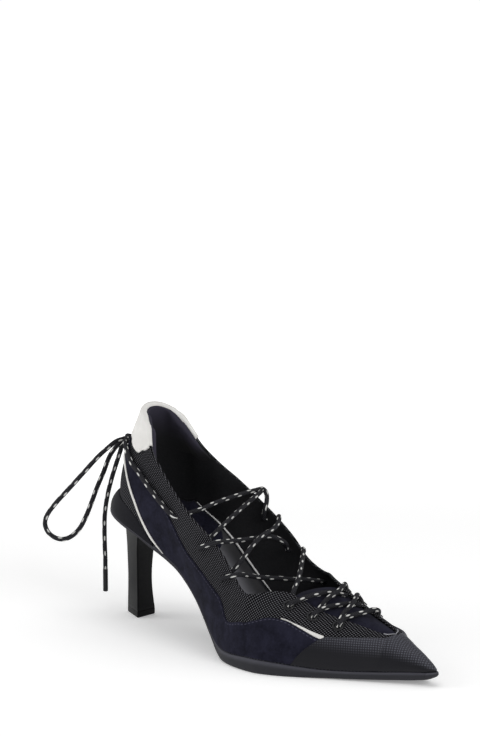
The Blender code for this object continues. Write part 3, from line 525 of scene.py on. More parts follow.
def suede_low(u):
    """Lower edge of the suede: it follows the piping, the sole and the toe cap in turn."""
    if u < PIPING_LINE[-1][0]:
        return along(PIPING_LINE, u) + PIPING_GAP
    if u > CAP_EDGE[0][0]:
        return max(along(CAP_EDGE, u) - CAP_TUCK, FOOT_V)
    return along(SUEDE_FOOT, u)


def suede_top(u):
    return along(SUEDE_TOP, u)


# Soft hollows in the suede: station and height of the middle, half length, half height and depth in mm.
SOFT_DENTS = (
    (128.0, 0.26, 16.0, 0.20, 0.55), (151.0, 0.33, 13.0, 0.22, 0.45), (104.0, 0.30, 12.0, 0.24, 0.35),
    (72.0, 0.33, 14.0, 0.22, 0.35),
)


def suede_dent(u, v):
    return sum(depth * math.exp(-((u - at_u) / half_u) ** 2 - ((v - at_v) / half_v) ** 2)
               for at_u, at_v, half_u, half_v, depth in SOFT_DENTS)


SEAM_ROUND, SUEDE_END_X, SUEDE = 1.2, 182.6, 0.7
suede_stations = [BACK_U + d for d in (0.15, 0.22, 0.4, 0.7, 1.2)] + spread(BACK_U + 2.0, SUEDE_END_X, 1.25)
for side, side_name in SIDES.items():
    bm = bmesh.new()
    lay_overlay(bm, side, suede_stations, suede_low, suede_top, 18, dent=suede_dent,
                end_share=lambda u: min(1.0, math.sqrt((u - BACK_U) / SEAM_ROUND)))
    panel = finish_piece(side_name + "_suede_panel", bm, navy_suede, ["suede_panel_" + side_name])
    thicken(panel, SUEDE)

# Piping: white leather wrapped round a thin cord, sewn in behind the suede on both sides and round the
# counter, and thinned out at its two ends by the sole.
# Smooth finished leather: bright and even with faint pores and a soft gloss.
PORE, CLOUD = 0.91, 8.33  # mm; the pores are coarser than real so that they show
white_leather, tree = new_material("white_smooth_leather", Roughness=0.55, Specular_IOR_Level=0.2)
spots = add(tree, "TexCoord").outputs["Object"]
pores = add(tree, "TexVoronoi", Vector=spots, Scale=1 / (PORE * MM))
cloudy = add(tree, "TexNoise", Vector=spots, Scale=1 / (CLOUD * MM), Detail=2.0)
dress(tree, cloudy, "dddbd7", "f4f3f0", pores, 0.15, 0.2)

FINE_STEPS, ASKEW = 16, (0.31, 0.52, 0.79)  # steps between two points of a route; a way that no cord starts


def smooth_route(points, spacing):
    """Evenly spaced points on a smooth curve through the given ones."""
    points = [np.array(p, float) for p in points]
    ends = [2 * points[0] - points[1]] + points + [2 * points[-1] - points[-2]]
    fine = []
    for a, b, c, d in zip(ends, ends[1:], ends[2:], ends[3:]):
        for k in range(FINE_STEPS):
            t = k / FINE_STEPS
            fine.append(0.5 * (2 * b + (c - a) * t + (2 * a - 5 * b + 4 * c - d) * t * t
                               + (3 * b - a - 3 * c + d) * t ** 3))
    fine = np.array(fine + [points[-1]])
    reach = np.concatenate(([0.0], np.cumsum(np.linalg.norm(np.diff(fine, axis=0), axis=1))))
    marks = np.linspace(0.0, reach[-1], max(2, round(reach[-1] / spacing)) + 1)
    return np.stack([np.interp(marks, reach, fine[:, axis]) for axis in range(3)], axis=1)


def lay_tube(bm, route, radius, sides=14, closed=False, start_mm=0.0, turn=0.0):
    """Round cord along evenly spaced points; its UV holds the share round it and the length in mm."""
    count = len(route)
    if closed:
        ahead = np.roll(route, -1, axis=0) - np.roll(route, 1, axis=0)
    else:
        ahead = np.gradient(route, axis=0)
    ahead /= np.linalg.norm(ahead, axis=1)[:, None]
    normal = np.cross(ahead[0], ASKEW)
    normals = []
    for way in ahead:
        normal = normal - np.dot(normal, way) * way
        normal = normal / np.linalg.norm(normal)
        normals.append(normal)
    lengths = np.concatenate(([0.0], np.cumsum(np.linalg.norm(np.diff(route, axis=0), axis=1))))
    widths = radius if hasattr(radius, "__len__") else [radius] * count

    def where(i, j):
        angle = -2 * math.pi * i / sides
        k = j % count
        other = np.cross(ahead[k], normals[k])
        return route[k] + widths[k] * (math.cos(angle) * normals[k] + math.sin(angle) * other)

    spot = lay_grid(bm, sides + 1, count + (1 if closed else 0), where,
                    surface=lambda i, j: (i / sides + turn, start_mm + lengths[min(j, count - 1)]))
    if not closed:
        bmesh.ops.remove_doubles(bm, verts=list(spot), dist=WELD)
        rims = [edge for edge in bm.edges if edge.is_boundary]
        bmesh.ops.holes_fill(bm, edges=rims, sides=sides + 2)


PIPING_RADIUS, PIPING_LIFT, PIPING_TIP, PIPING_TAPER = 1.0, 0.55, 0.25, 0.075
piping_stations = [58.5, 56.5, 53.2, 48.8, 44.3, 39.5, 35.4, 31.2, 27.0, 19.8, 14.0, 8.0, 1.0, -5.0]
halves = {}
for side in SIDES:
    halves[side] = [on_skin(side, u, along(PIPING_LINE, u), PIPING_LIFT) for u in piping_stations]
back_spot = on_skin(LATERAL, BACK_U, PIPING_LINE[0][1], PIPING_LIFT)
piping_route = smooth_route(halves[LATERAL] + [back_spot] + halves[MEDIAL][::-1], 1.2)
last = len(piping_route) - 1
piping_widths = [PIPING_RADIUS * min(1.0, PIPING_TIP + PIPING_TAPER * min(k, last - k))
                 for k in range(last + 1)]
bm = bmesh.new()
lay_tube(bm, piping_route, piping_widths, sides=12)
finish_piece("white_piping", bm, white_leather, ["piping"])

# Heel tab: white leather folded over the padded back of the collar, sewn down along its lower edge and
# skived thin at its rim.
TAB_EDGE = (
    (-10.0, 0.772), (0.0, 0.762), (6.0, 0.750), (14.0, 0.745), (20.0, 0.735), (26.2, 0.716), (31.0, 0.714),
    (33.5, 0.730), (37.7, 0.822), (42.4, 1.0),
)
CREASE_U, CREASE_V, CREASE_LEAN, CREASE_HALF, CREASE_DEPTH = 21.0, 0.85, 26.0, 2.4, 0.5


def tab_crease(u, v):
    """One soft upright fold on each side of the tab."""
    return CREASE_DEPTH * math.exp(-((u - CREASE_U - CREASE_LEAN * (v - CREASE_V)) / CREASE_HALF) ** 2)


TAB_LIFT, TAB_ROWS, FOLD_ROWS = 1.35, 30, 14
TAB_FOLD = ((-10.0, 0.8), (6.0, 0.9), (15.0, 1.5), (24.0, 2.6), (34.0, 1.7), (39.0, 0.7), (42.4, 0.1))
FOLD_RISE = ((-10.0, 0.68), (8.0, 0.66), (20.0, 0.55), (42.4, 0.9))
SEAM_IN, SEAM_HALF, SEAM_DEPTH = 1.7, 0.5, 0.35
TUCK_FROM, TUCK_DROP, LEATHER = 0.75, 0.05, 0.6
tab_stations = spread(BACK_U, 42.1, 0.9)


def tab_point(side, u, j):
    """From the tab's lower edge up the outside, then over the rim and down inside."""
    low = along(TAB_EDGE, u)
    if j <= TAB_ROWS:
        t = j / TAB_ROWS
        v = low + (1.0 - low) * t * t * (2 - t)
        from_edge = (v - low) * rib_length(side, u)
        rounded = min(1.0, from_edge / EDGE_ROUND)
        lift = RIM_LIFT + (TAB_LIFT - RIM_LIFT) * math.sqrt(max(0.0, 1.0 - (1.0 - rounded) ** 2))
        seam = SEAM_DEPTH * math.exp(-((from_edge - SEAM_IN) / SEAM_HALF) ** 2)
        return on_skin(side, u, v, lift - tab_crease(u, v) - seam)
    turn = math.pi * (j - TAB_ROWS) / FOLD_ROWS
    half = 0.5 * (TAB_LIFT + WALL + along(TAB_FOLD, u))
    lift = TAB_LIFT - half * (1.0 - math.cos(turn)) - tab_crease(u, 1.0) * 0.5 * (1.0 + math.cos(turn))
    rise = along(FOLD_RISE, u) * half * math.sin(turn)
    tucked = TUCK_DROP * max(0.0, turn / math.pi - TUCK_FROM)
    return on_skin(side, u, 1.0 - tucked, lift) + rise * rim_way(side, u)


bm = bmesh.new()
for side in SIDES:
    lay_side(bm, side, tab_stations, TAB_ROWS + FOLD_ROWS + 1, tab_point)
thicken(finish_piece("white_heel_tab", bm, white_leather, ["heel_tab"]), LEATHER)

# Vamp stripes: a white leather wedge on each side, between the mesh, the suede and the toe cap, sewn on
# under the edges of both.
STRIPE_TOP = ((160.1, 0.597), (164.6, 0.604), (172.1, 0.599), (178.7, 0.577), (184.6, 0.556))
STRIPE_LIFT = 0.9
stripe_stations = spread(160.4, 184.3, 0.8)
for side, side_name in SIDES.items():
    bm = bmesh.new()
    lay_overlay(bm, side, stripe_stations, suede_top, lambda u: along(STRIPE_TOP, u), 4,
                full_lift=STRIPE_LIFT)
    stripe = finish_piece(side_name + "_vamp_stripe", bm, white_leather, ["vamp_stripe_" + side_name])
    thicken(stripe, LEATHER)

# Toe cap: thin black thermoplastic film, embossed with fine dots on its upper part and left smooth below,
# heat-bonded over the pointed toe.
# Embossed film: satin black, with small embossed dots towards the top, each painted paler as a painted
# highlight; the ground is painted lighter towards the top as painted light from above.
DOT_SPACING, DOT_LIMITS = 1.35, (0.42, 0.18)
toe_film, tree = new_material("black_embossed_toe_film", Roughness=0.5, Specular_IOR_Level=0.2)
dot_place = add(tree, "VectorMath", add(tree, "UVMap", uv_map="surface"), 1.0 / DOT_SPACING,
                operation="SCALE")
dots = ovals(tree, dot_place, (0.0, 0.0), (1.0, 1.0), DOT_LIMITS)
dot_height = add(tree, "Math", dots, share_between(tree, 0.26, 0.62), operation="MULTIPLY")
# painted light: the ground is lighter towards the top of the cap, where the light falls
lit_film_ground = add(tree, "Mix", share_between(tree, 0.3, 0.75), "17171c", "33333a", data_type="RGBA")
# painted highlight: the dots' pale tone
dress(tree, dot_height, lit_film_ground, "565760", dot_height, 0.6, 0.3)

CAP_LIFT, CAP_FILM = 1.1, 0.8
cap_stations = spread(171.3, 212.0, 0.9) + spread(212.0, 217.0, 0.35)[1:] + spread(217.0, TIP_X, 0.8)[1:]
bm = bmesh.new()
for side in SIDES:
    lay_overlay(bm, side, cap_stations, lambda u: FOOT_V, lambda u: along(CAP_EDGE, u), 16,
                full_lift=CAP_LIFT, join_high=True)
thicken(finish_piece("toe_cap_film", bm, toe_film, ["toe_cap"]), CAP_FILM)

# Eyelets: three rings of black enamelled brass on each side of the vamp, pressed through the mesh and
# rolled over behind it.
# Stove-enamelled brass: near black, with a small soft shine on the roll of each ring.
black_enamel = grained("black_enamelled_metal", "101013", "17171b", 1.5, 0.05, Roughness=0.3,
                       Specular_IOR_Level=0.3)
EYELETS = {"vamp_1": (160.0, 0.825), "vamp_2": (173.8, 0.833), "vamp_3": (188.3, 0.818)}
EYELET_RADIUS, EYELET_ROUND, EYELET_SEAT = 2.75, 0.75, 0.15
HOLE_SHADE_RADIUS, HOLE_SHADE_LIFT, ROLL_STEPS, TURN_STEPS = 1.5, 0.05, 6, 24
bm = bmesh.new()
for side in SIDES:
    for hole in EYELETS.values():
        normal = skin_normal(side, *hole)
        middle = on_skin(side, *hole, EYELET_SEAT)
        across = np.cross(normal, (0.0, 0.0, 1.0))
        across = across / np.linalg.norm(across)
        # painted shade: a flat dark disc closes the middle of each ring and stands in for the dark hole
        profile = [middle + HOLE_SHADE_LIFT * normal, middle + HOLE_SHADE_RADIUS * across + HOLE_SHADE_LIFT * normal]
        for k in range(ROLL_STEPS + 1):
            angle = math.pi * (1.0 - k / ROLL_STEPS)
            point = middle + (EYELET_RADIUS + EYELET_ROUND * math.cos(angle)) * across
            profile.append(point + EYELET_ROUND * math.sin(angle) * normal)
        line = [bm.verts.new(metres(point)) for point in profile]
        edges = [bm.edges.new(pair) for pair in zip(line, line[1:])]
        bmesh.ops.spin(bm, geom=line + edges, cent=metres(middle), axis=Vector(normal), angle=2 * math.pi,
                       steps=TURN_STEPS, use_merge=True)
bmesh.ops.remove_doubles(bm, verts=bm.verts, dist=WELD)
bmesh.ops.recalc_face_normals(bm, faces=bm.faces)
finish_piece("eyelets", bm, black_enamel)

# Tongue: one layer of the navy suede under the lace slot, cut with a rounded back end and sewn in at the
# toe end.
TONGUE_BACK_X, TONGUE_ROUND, TONGUE_THICKNESS = 151.5, 13.5, 1.4
TONGUE_TUCK, TONGUE_EDGE, TONGUE_SAG = 3.5, 2.2, 1.8
TONGUE_CROWN = (
    (151.0, 40.0), (155.0, 40.6), (160.0, 40.7), (165.0, 39.8), (170.0, 38.2), (176.0, 35.9), (182.0, 33.8),
    (190.0, 31.4), (196.0, 29.9), (203.0, 27.8), (209.0, 25.9), (213.0, 24.6),
)


def tongue_half(x):
    full = section(max(x, TONGUE_BACK_X + TONGUE_ROUND))["top_half"]
    full += min(TONGUE_TUCK, 1.0 + 0.3 * full)
    short = max(0.0, TONGUE_BACK_X + TONGUE_ROUND - x) / TONGUE_ROUND
    return full * math.sqrt(max(1.0 - short * short, 0.0))


def tongue_point(x, across):
    """Point on the tongue's upper face; across runs from -1 to 1."""
    s = section(x)
    crown = along(TONGUE_CROWN, x)
    reach = across * tongue_half(x)
    drop = max(crown - s["top_z"] + TONGUE_EDGE, TONGUE_SAG)
    return np.array((x, s["centre"] + reach, crown - drop * (reach / s["top_half"]) ** 2))


TONGUE_ROWS, TONGUE_RIM = 20, 0.35
tongue_stations = [TONGUE_BACK_X + d for d in (0.05, 0.2, 0.5, 1.0, 1.8)]
tongue_stations += spread(TONGUE_BACK_X + 2.8, 213.4, 1.3)
bm = bmesh.new()
lay_grid(bm, len(tongue_stations), TONGUE_ROWS + 1,
         lambda i, j: tongue_point(tongue_stations[i], 2.0 * j / TONGUE_ROWS - 1.0))
tongue = finish_piece("navy_tongue", bm, navy_suede, ["tongue"])
thicken(tongue, TONGUE_THICKNESS)
soft_rim = tongue.modifiers.new("soft rim", "BEVEL")
soft_rim.width = TONGUE_RIM * MM
soft_rim.segments = 3

# Slot binding: a thin tape of woven polyester, folded over the toe end of the lace slot and sewn down; its
# pale grey is a painted highlight on its edge.


def ribbed(name, dark, light, rib_mm):
    """Material for a thin woven edge, with ribs across its length."""
    made, tree = new_material(name, Roughness=0.85, Specular_IOR_Level=0.1)
    length = add(tree, "SeparateXYZ", add(tree, "UVMap", uv_map="surface")).outputs["Y"]
    rib_share = add(tree, "Math", length, 0.5 * rib_mm, operation="PINGPONG")
    rib_tone = add(tree, "MapRange", rib_share, 0.0, 0.2 * rib_mm)
    dress(tree, rib_tone, dark, light, rib_tone, 0.3, 0.1)
    return made


# Woven polyester binding: matt, painted pale as a painted highlight, one bright line at the end of the slot.
# Its ribs are drawn coarser than the threads so that they show.
RIB = 1.0
highlight_grey_binding = ribbed("painted_highlight_woven_binding", "84848a", "a2a2a8", RIB)
BINDING_LIFT, BINDING_END_LIFT, BINDING_RADIUS = 0.25, 0.3, 0.3
slot_stations = [210.6, 211.6, 212.6, 213.6]
slot_way = [on_skin(LATERAL, u, 1.0, BINDING_LIFT) for u in slot_stations]
slot_way.append(on_skin(LATERAL, SLOT_END_X, 1.0, BINDING_END_LIFT))
slot_way += [on_skin(MEDIAL, u, 1.0, BINDING_LIFT) for u in slot_stations[::-1]]
bm = bmesh.new()
lay_tube(bm, smooth_route(slot_way, 0.5), BINDING_RADIUS, sides=10)
finish_piece("slot_binding", bm, highlight_grey_binding)

# Insole: a board covered with smooth dark leather, cupped up the walls a little, with a pad of the navy
# suede glued on under the heel.
# Smooth sheepskin, dark: painted highlight makes the tread pale grey, and painted shade darkens it towards
# the inner edge, where the cup faces the dark inside.
HIDE_GRAIN = 1.25  # mm, coarser than real so that it shows
insole_leather, tree = new_material("grey_black_smooth_leather", Roughness=0.4, Specular_IOR_Level=0.3)
spots = add(tree, "TexCoord").outputs["Object"]
grain = add(tree, "TexNoise", Vector=spots, Scale=1 / (HIDE_GRAIN * MM), Detail=3.0)
# painted highlight and painted shade: pale grey over most of the tread, darker towards the inner edge
dress(tree, share_between(tree, 0.66, 0.92), "84848b", "26262a", grain, 0.12, 0.2)

INSOLE_INSET, INSOLE_THICKNESS, INSOLE_CUP, INSOLE_COLUMNS = 2.2, 2.0, 3.4, 24
CUP_FLAT_X, CUP_RISE = 225.0, 60.0
ARCH_X, ARCH_BLEND, ARCH_DROP, ARCH_GAP = (26.0, 118.0), (12.0, 14.0), 0.008, 0.2
EDGE_LINE = ((38.0, 0.151), (45.5, 0.175), (52.0, 0.195), (59.5, 0.210), (70.6, 0.203), (79.7, 0.200),
             (91.0, 0.195), (100.0, 0.179), (104.0, 0.17))


def seat_z(x):
    """Height of the upper's lower edge, which the sole's top follows."""
    if x >= HEEL_X:
        return section(min(x, TIP_X))["feather_z"]
    share = (HEEL_X - x) / BACK_SEAM["foot"]
    return LAST[0][1] + (BACK_SEAM["feather_z"] - LAST[0][1]) * share


def foot_half(side, x, margin, back_length):
    """Half width of the foot's outline at x, widened by a margin, rounded off round the heel."""
    s = section(min(max(x, HEEL_X), TIP_X))
    half = (s["lateral"] if side == LATERAL else s["medial"]) + margin
    if x < HEEL_X:
        half *= math.sqrt(max(0.0, 1.0 - ((HEEL_X - x) / back_length) ** 2))
    return half


def insole_point(x, across, lift):
    """Point on the insole; its inner edge climbs the arch as far as the white edge."""
    side = LATERAL if across < 0 else MEDIAL
    centre = section(max(x, HEEL_X))["centre"]
    half = foot_half(side, x, -INSOLE_INSET, BACK_SEAM["foot"] - INSOLE_INSET)
    cup = INSOLE_CUP * min(1.0, max(0.0, (CUP_FLAT_X - x) / CUP_RISE))
    base = seat_z(x) + INSOLE_THICKNESS
    if side == MEDIAL and ARCH_X[0] < x < ARCH_X[1]:
        share = min(1.0, (x - ARCH_X[0]) / ARCH_BLEND[0], (ARCH_X[1] - x) / ARCH_BLEND[1])
        share = share * share * (3 - 2 * share)
        edge_v = along(EDGE_LINE, min(max(x, EDGE_LINE[0][0]), EDGE_LINE[-1][0])) - ARCH_DROP
        edge = on_skin(MEDIAL, max(x, HEEL_X), edge_v, -(WALL + ARCH_GAP))
        half += share * (edge[1] - centre - half)
        cup += share * (edge[2] - base - cup)
    return np.array((x, centre + across * half, base + cup * abs(across) ** 3 + lift))


insole_back = HEEL_X - BACK_SEAM["foot"] + INSOLE_INSET
insole_stations = [insole_back + d for d in (0.05, 0.3, 0.8, 1.6, 2.8)]
insole_stations += spread(insole_back + 4.2, 214.0, 1.8)
bm = bmesh.new()
lay_grid(bm, len(insole_stations), INSOLE_COLUMNS + 1,
         lambda i, j: insole_point(insole_stations[i], 2.0 * j / INSOLE_COLUMNS - 1.0, 0.0),
         share=lambda i, j: (insole_stations[i] / TIP_X, j / INSOLE_COLUMNS))
insole = finish_piece("leather_insole", bm, insole_leather, ["insole"])
thicken(insole, INSOLE_THICKNESS)

PAD_BACK_X, PAD_FRONT_X = 9.0, 70.0
PAD_WIDTH, PAD_CORNER, PAD_SOFT, PAD_BED = 0.985, 8, 0.9, 0.1
PAD_SIDE_SLOPE, PAD_END_SLOPE = 6.0, 14
pad_spots = [PAD_BACK_X + d for d in (0.0, 0.15, 0.5, 1.1)] + spread(PAD_BACK_X + 2.0, PAD_FRONT_X - 2.0, 1.6)
pad_spots += [PAD_FRONT_X - d for d in (1.1, 0.5, 0.15, 0.0)]


def heel_pad_point(i, j):
    x = pad_spots[i]
    t = (x - PAD_BACK_X) / (PAD_FRONT_X - PAD_BACK_X)
    across = 2.0 * j / INSOLE_COLUMNS - 1.0
    width = PAD_WIDTH * math.sqrt(max(0.0, 1.0 - (2 * t - 1) ** PAD_CORNER)) + 0.001
    soft = PAD_SOFT * min(1.0, PAD_SIDE_SLOPE * (1.0 - abs(across))) ** 0.5
    soft *= min(1.0, PAD_END_SLOPE * t, PAD_END_SLOPE * (1 - t))
    return insole_point(x, across * width, soft - PAD_BED)


bm = bmesh.new()
lay_grid(bm, len(pad_spots), INSOLE_COLUMNS + 1, heel_pad_point)
finish_piece("heel_pad", bm, navy_suede, ())

# Insole edge: a thin white line along the arch on the inner side, between the insole and the wall, tapered at
# both ends.
# White ribbed cord: matt and white, a clear line against the dark inside.
EDGE_RADIUS, EDGE_GAP, EDGE_TIP, EDGE_TAPERS = 0.62, 0.3, 0.35, (40, 30)
edge_route = smooth_route([on_skin(MEDIAL, u, v, -(WALL + EDGE_GAP)) for u, v in EDGE_LINE], 1.0)
last = len(edge_route) - 1
edge_widths = [EDGE_RADIUS * min(1.0, EDGE_TIP + k / EDGE_TAPERS[0], EDGE_TIP + (last - k) / EDGE_TAPERS[1])
               for k in range(last + 1)]
bm = bmesh.new()
lay_tube(bm, edge_route, edge_widths, sides=8)
finish_piece("insole_edge", bm, ribbed("white_ribbed_edge_line", "eeeeec", "fcfcfb", RIB))

# Outsole: one moulding of matt black rubber, thick at the forefoot, thin under the arch, with a lip
# behind the heel seat.  The upper is cemented on its top.
# Moulded rubber: dull black, painted paler towards the top edge as a painted highlight.
CAST_GRAIN = 0.67  # mm, coarser than the mould's texture so that it shows
black_rubber, tree = new_material("black_moulded_rubber", Roughness=0.6, Specular_IOR_Level=0.2)
spots = add(tree, "TexCoord").outputs["Object"]
cast = add(tree, "TexNoise", Vector=spots, Scale=1 / (CAST_GRAIN * MM), Detail=2.0)
# painted highlight: paler towards the top of the sole's side
dress(tree, share_between(tree, 0.55, 0.98), "2c2c31", "4c4c54", cast, 0.12, 0.2)

# Station and height of the sole's underside, and below station and margin of its edge past the upper.
UNDER = (
    (-6.5, 71.0), (-5.5, 69.2), (-3.0, 68.2), (2.0, 67.0), (19.0, 63.2), (35.0, 58.6), (50.0, 52.0),
    (60.0, 47.3), (71.0, 40.6), (83.0, 29.2), (93.0, 18.3), (103.5, 8.6), (112.0, 2.8), (120.0, 0.3),
    (126.0, 0.0), (172.0, 0.0), (190.0, 0.4), (206.0, 1.0), (222.0, 1.9), (233.0, 2.7), (238.0, 3.6),
    (241.0, 4.8), (243.0, 6.4),
)
CUP_END_X, CUP_SOLE, CUP_BLEND = 50.0, 2.2, 6.0
EDGE = ((36.0, 1.2), (48.0, 0.9), (60.0, 0.3), (104.0, 0.3), (122.0, 0.9), (190.0, 0.9), (243.0, 0.7))
LIP_END_X, LIP_ROUND, SOLE_TIP_X, SEAT_GAP = -6.5, 0.4, 243.0, 0.15
TIP_BLEND, TIP_CURVE, LEAST_SHARE = 4.0, 2.3, 0.55
# Half a ring, from the middle of the underside to the middle of the top: distance in from the edge in mm,
# or a share of the width, and share of the height.
SOLE_PROFILE = [("share", 0.0, 0.0), ("share", 0.5, 0.0), ("inset", 3.0, 0.0)]
SOLE_PROFILE += [("inset", 1.7 * (1 - math.sin(a)), 0.34 * (1 - math.cos(a)))
                 for a in (0.0, 0.26, 0.52, 0.79, 1.05, 1.31, 1.57)]
SOLE_PROFILE += [("inset", 0.0, 0.55), ("inset", 0.05, 0.72), ("inset", 0.12, 0.84), ("inset", 0.3, 0.93),
                 ("inset", 0.6, 0.985), ("inset", 1.1, 1.0), ("inset", 3.0, 1.0), ("share", 0.5, 1.0),
                 ("share", 0.0, 1.0)]
sole_ring = [(LATERAL, k) for k in range(len(SOLE_PROFILE))]
sole_ring += [(MEDIAL, k) for k in range(len(SOLE_PROFILE) - 2, -1, -1)]
sole_stations = [LIP_END_X + d for d in (0.0, 0.1, 0.3, 0.7, 1.3, 2.1)] + spread(LIP_END_X + 3.0, 236.0, 1.7)
sole_stations += [SOLE_TIP_X - d for d in (5.5, 4.2, 3.1, 2.2, 1.5, 0.9, 0.45, 0.18, 0.04, 0.0)]


def sole_point(i, j):
    x = sole_stations[j]
    side, k = sole_ring[i]
    kind, amount, height = SOLE_PROFILE[k]
    half = foot_half(side, x, along(EDGE, x), HEEL_X - LIP_END_X + LIP_ROUND)
    if x > TIP_X - TIP_BLEND:
        half = max(half, TIP_CURVE * math.sqrt(max(0.0, SOLE_TIP_X + 0.1 - x)))
    reach = half * amount if kind == "share" else max(half - amount, half * LEAST_SHARE)
    under = along(UNDER, x)
    top = seat_z(x) - SEAT_GAP
    if x < CUP_END_X + CUP_BLEND:
        share = min(1.0, (CUP_END_X + CUP_BLEND - x) / (2 * CUP_BLEND))
        top += (under + CUP_SOLE - top) * share * share * (3 - 2 * share)
    centre = section(min(max(x, HEEL_X), TIP_X))["centre"]
    return np.array((x, centre + side * reach, under + (top - under) * height))


bm = bmesh.new()
lay_grid(bm, len(sole_ring), len(sole_stations), sole_point,
         share=lambda i, j: (0.0, SOLE_PROFILE[sole_ring[i][1]][2]))
bmesh.ops.remove_doubles(bm, verts=bm.verts, dist=WELD)
bmesh.ops.holes_fill(bm, edges=[edge for edge in bm.edges if edge.is_boundary], sides=0)
bmesh.ops.recalc_face_normals(bm, faces=bm.faces)
finish_piece("rubber_outsole", bm, black_rubber, ["outsole"])

# Heel cup: smooth black synthetic leather, moulded round the heel seat.  It leaves the wall of the upper,
# swells out over the lip of the sole and is cemented round its edge.
# Black synthetic leather: even, dark and dull, with a weak sheen along the swell.
cup_leather = grained("black_smooth_synthetic", "0f0f15", "15151c", 1.1, 0.2, Roughness=0.6,
                      Specular_IOR_Level=0.1)
CUP_TOP = ((-10.0, 0.105), (10.0, 0.11), (24.0, 0.115), (36.0, 0.085), (46.0, 0.03), (50.0, 0.008))
CUP_ROWS, CUP_ROUND, CUP_LIFT, CUP_CURVE = 16, 6, 0.25, (0.6, 0.4)
LIP_HEIGHT, LIP_IN, LIP_DOWN = 3.0, 1.6, 2.2
cup_stations = spread(BACK_U, CUP_END_X, 1.1)


def lip_point(side, u):
    """Outermost point of the heel cup beside the wall at u."""
    half = foot_half(side, max(u, HEEL_X), along(EDGE, max(u, HEEL_X)), 1.0)
    x, y = u, side * half
    if u < HEEL_X:
        turn = (HEEL_X - u) / FAN_LENGTH * math.pi / 2
        back, out = math.sin(turn), math.cos(turn)
        radius = 1.0 / math.hypot(back / (HEEL_X - LIP_END_X), out / half)
        x, y = HEEL_X - back * radius, side * out * radius
    return np.array((x, y, along(UNDER, max(x, LIP_END_X)) + LIP_HEIGHT))


def cup_point(side, u, j):
    """From the wall down and out to the lip, then round under it."""
    top = on_skin(side, u, along(CUP_TOP, u), CUP_LIFT)
    lip = lip_point(side, u)
    if j <= CUP_ROWS:
        turn = 0.5 * math.pi * j / CUP_ROWS
        out = math.sin(turn)
        down = CUP_CURVE[0] * (1.0 - math.cos(turn)) + CUP_CURVE[1] * out
        return np.array((*(top + (lip - top) * out)[:2], top[2] + (lip[2] - top[2]) * down))
    turn = 0.5 * math.pi * (j - CUP_ROWS) / CUP_ROUND
    inward = (top - lip) * (1.0, 1.0, 0.0)
    inward = inward / max(np.linalg.norm(inward), 0.5)
    return lip + LIP_IN * (1.0 - math.cos(turn)) * inward - np.array((0.0, 0.0, LIP_DOWN * math.sin(turn)))


bm = bmesh.new()
for side in SIDES:
    lay_side(bm, side, cup_stations, CUP_ROWS + CUP_ROUND + 1, cup_point, turned=True)
thicken(finish_piece("heel_cup", bm, cup_leather, ()), LEATHER)

# Heel: moulded plastic with three flat sides, satin black lacquer, screwed under the sole, and a rubber
# top piece below it.
# Sprayed lacquer on ABS: deep black with a satin shine and the faint ripple of the spray.
heel_lacquer = grained("satin_black_lacquer", "0b0b0d", "0f0f11", 2.5, 0.05, Roughness=0.4,
                       Specular_IOR_Level=0.08)
# Height above the floor, back edge, front face and half width of the heel.
HEEL_ROWS = (
    (4.0, -0.5, 17.2, 7.9), (13.0, -0.2, 16.4, 7.1), (24.0, 0.0, 15.9, 6.7), (36.0, -0.4, 16.3, 7.2),
    (46.0, -0.9, 17.4, 8.2), (55.0, -1.8, 20.5, 10.6),
)
HEEL_SEAT, SEAT_RINGS, SEAT_FLARE = (-3.0, 27.0, 15.0), 6, 1.25
HEEL_CORNER, HEEL_TIP_HEIGHT, HEEL_JOINT = 1.3, 4.0, 0.05


def heel_ring(back_x, front_x, half_width, height):
    """Three corners, each rounded by seven points; height is a function of x."""
    corners = [np.array(c) for c in ((back_x, 0.0), (front_x, -half_width), (front_x, half_width))]
    ring = []
    for i, corner in enumerate(corners):
        before = corners[i - 1] - corner
        after = corners[(i + 1) % 3] - corner
        before = corner + before / np.linalg.norm(before) * HEEL_CORNER
        after = corner + after / np.linalg.norm(after) * HEEL_CORNER
        for t in (0.0, 1 / 6, 1 / 3, 0.5, 2 / 3, 5 / 6, 1.0):
            p = (1 - t) ** 2 * before + 2 * t * (1 - t) * corner + t * t * after
            ring.append(np.array((p[0], p[1], height(p[0]))))
    return ring


def loft_piece(bm, rings):
    """Closed body through rings of equal count."""
    loops = [[bm.verts.new(metres(point)) for point in ring] for ring in rings]
    for loop in loops:
        for a, b in zip(loop, loop[1:] + loop[:1]):
            bm.edges.new((a, b))
    for low, high in zip(loops, loops[1:]):
        edges = [bm.edges.get((a, b)) for ring in (low, high) for a, b in zip(ring, ring[1:] + ring[:1])]
        bmesh.ops.bridge_loops(bm, edges=edges)
    bmesh.ops.holes_fill(bm, edges=[edge for edge in bm.edges if edge.is_boundary], sides=0)
    bmesh.ops.recalc_face_normals(bm, faces=bm.faces)


heel_rings = []
seat_from, *neck_size = HEEL_ROWS[-1]
for z in spread(HEEL_TIP_HEIGHT + HEEL_JOINT, seat_from, 2.0):
    heel_rings.append(heel_ring(*[along(HEEL_ROWS, z, k) for k in (1, 2, 3)], lambda x, z=z: z))
for k in range(1, SEAT_RINGS + 1):
    t = k / SEAT_RINGS
    size = [a + (b - a) * t ** SEAT_FLARE for a, b in zip(neck_size, HEEL_SEAT)]
    heel_rings.append(heel_ring(
        *size, lambda x, t=t: seat_from + (along(UNDER, x) - HEEL_JOINT - seat_from) * t))
bm = bmesh.new()
loft_piece(bm, heel_rings)
finish_piece("lacquered_heel", bm, heel_lacquer, ["heel"])
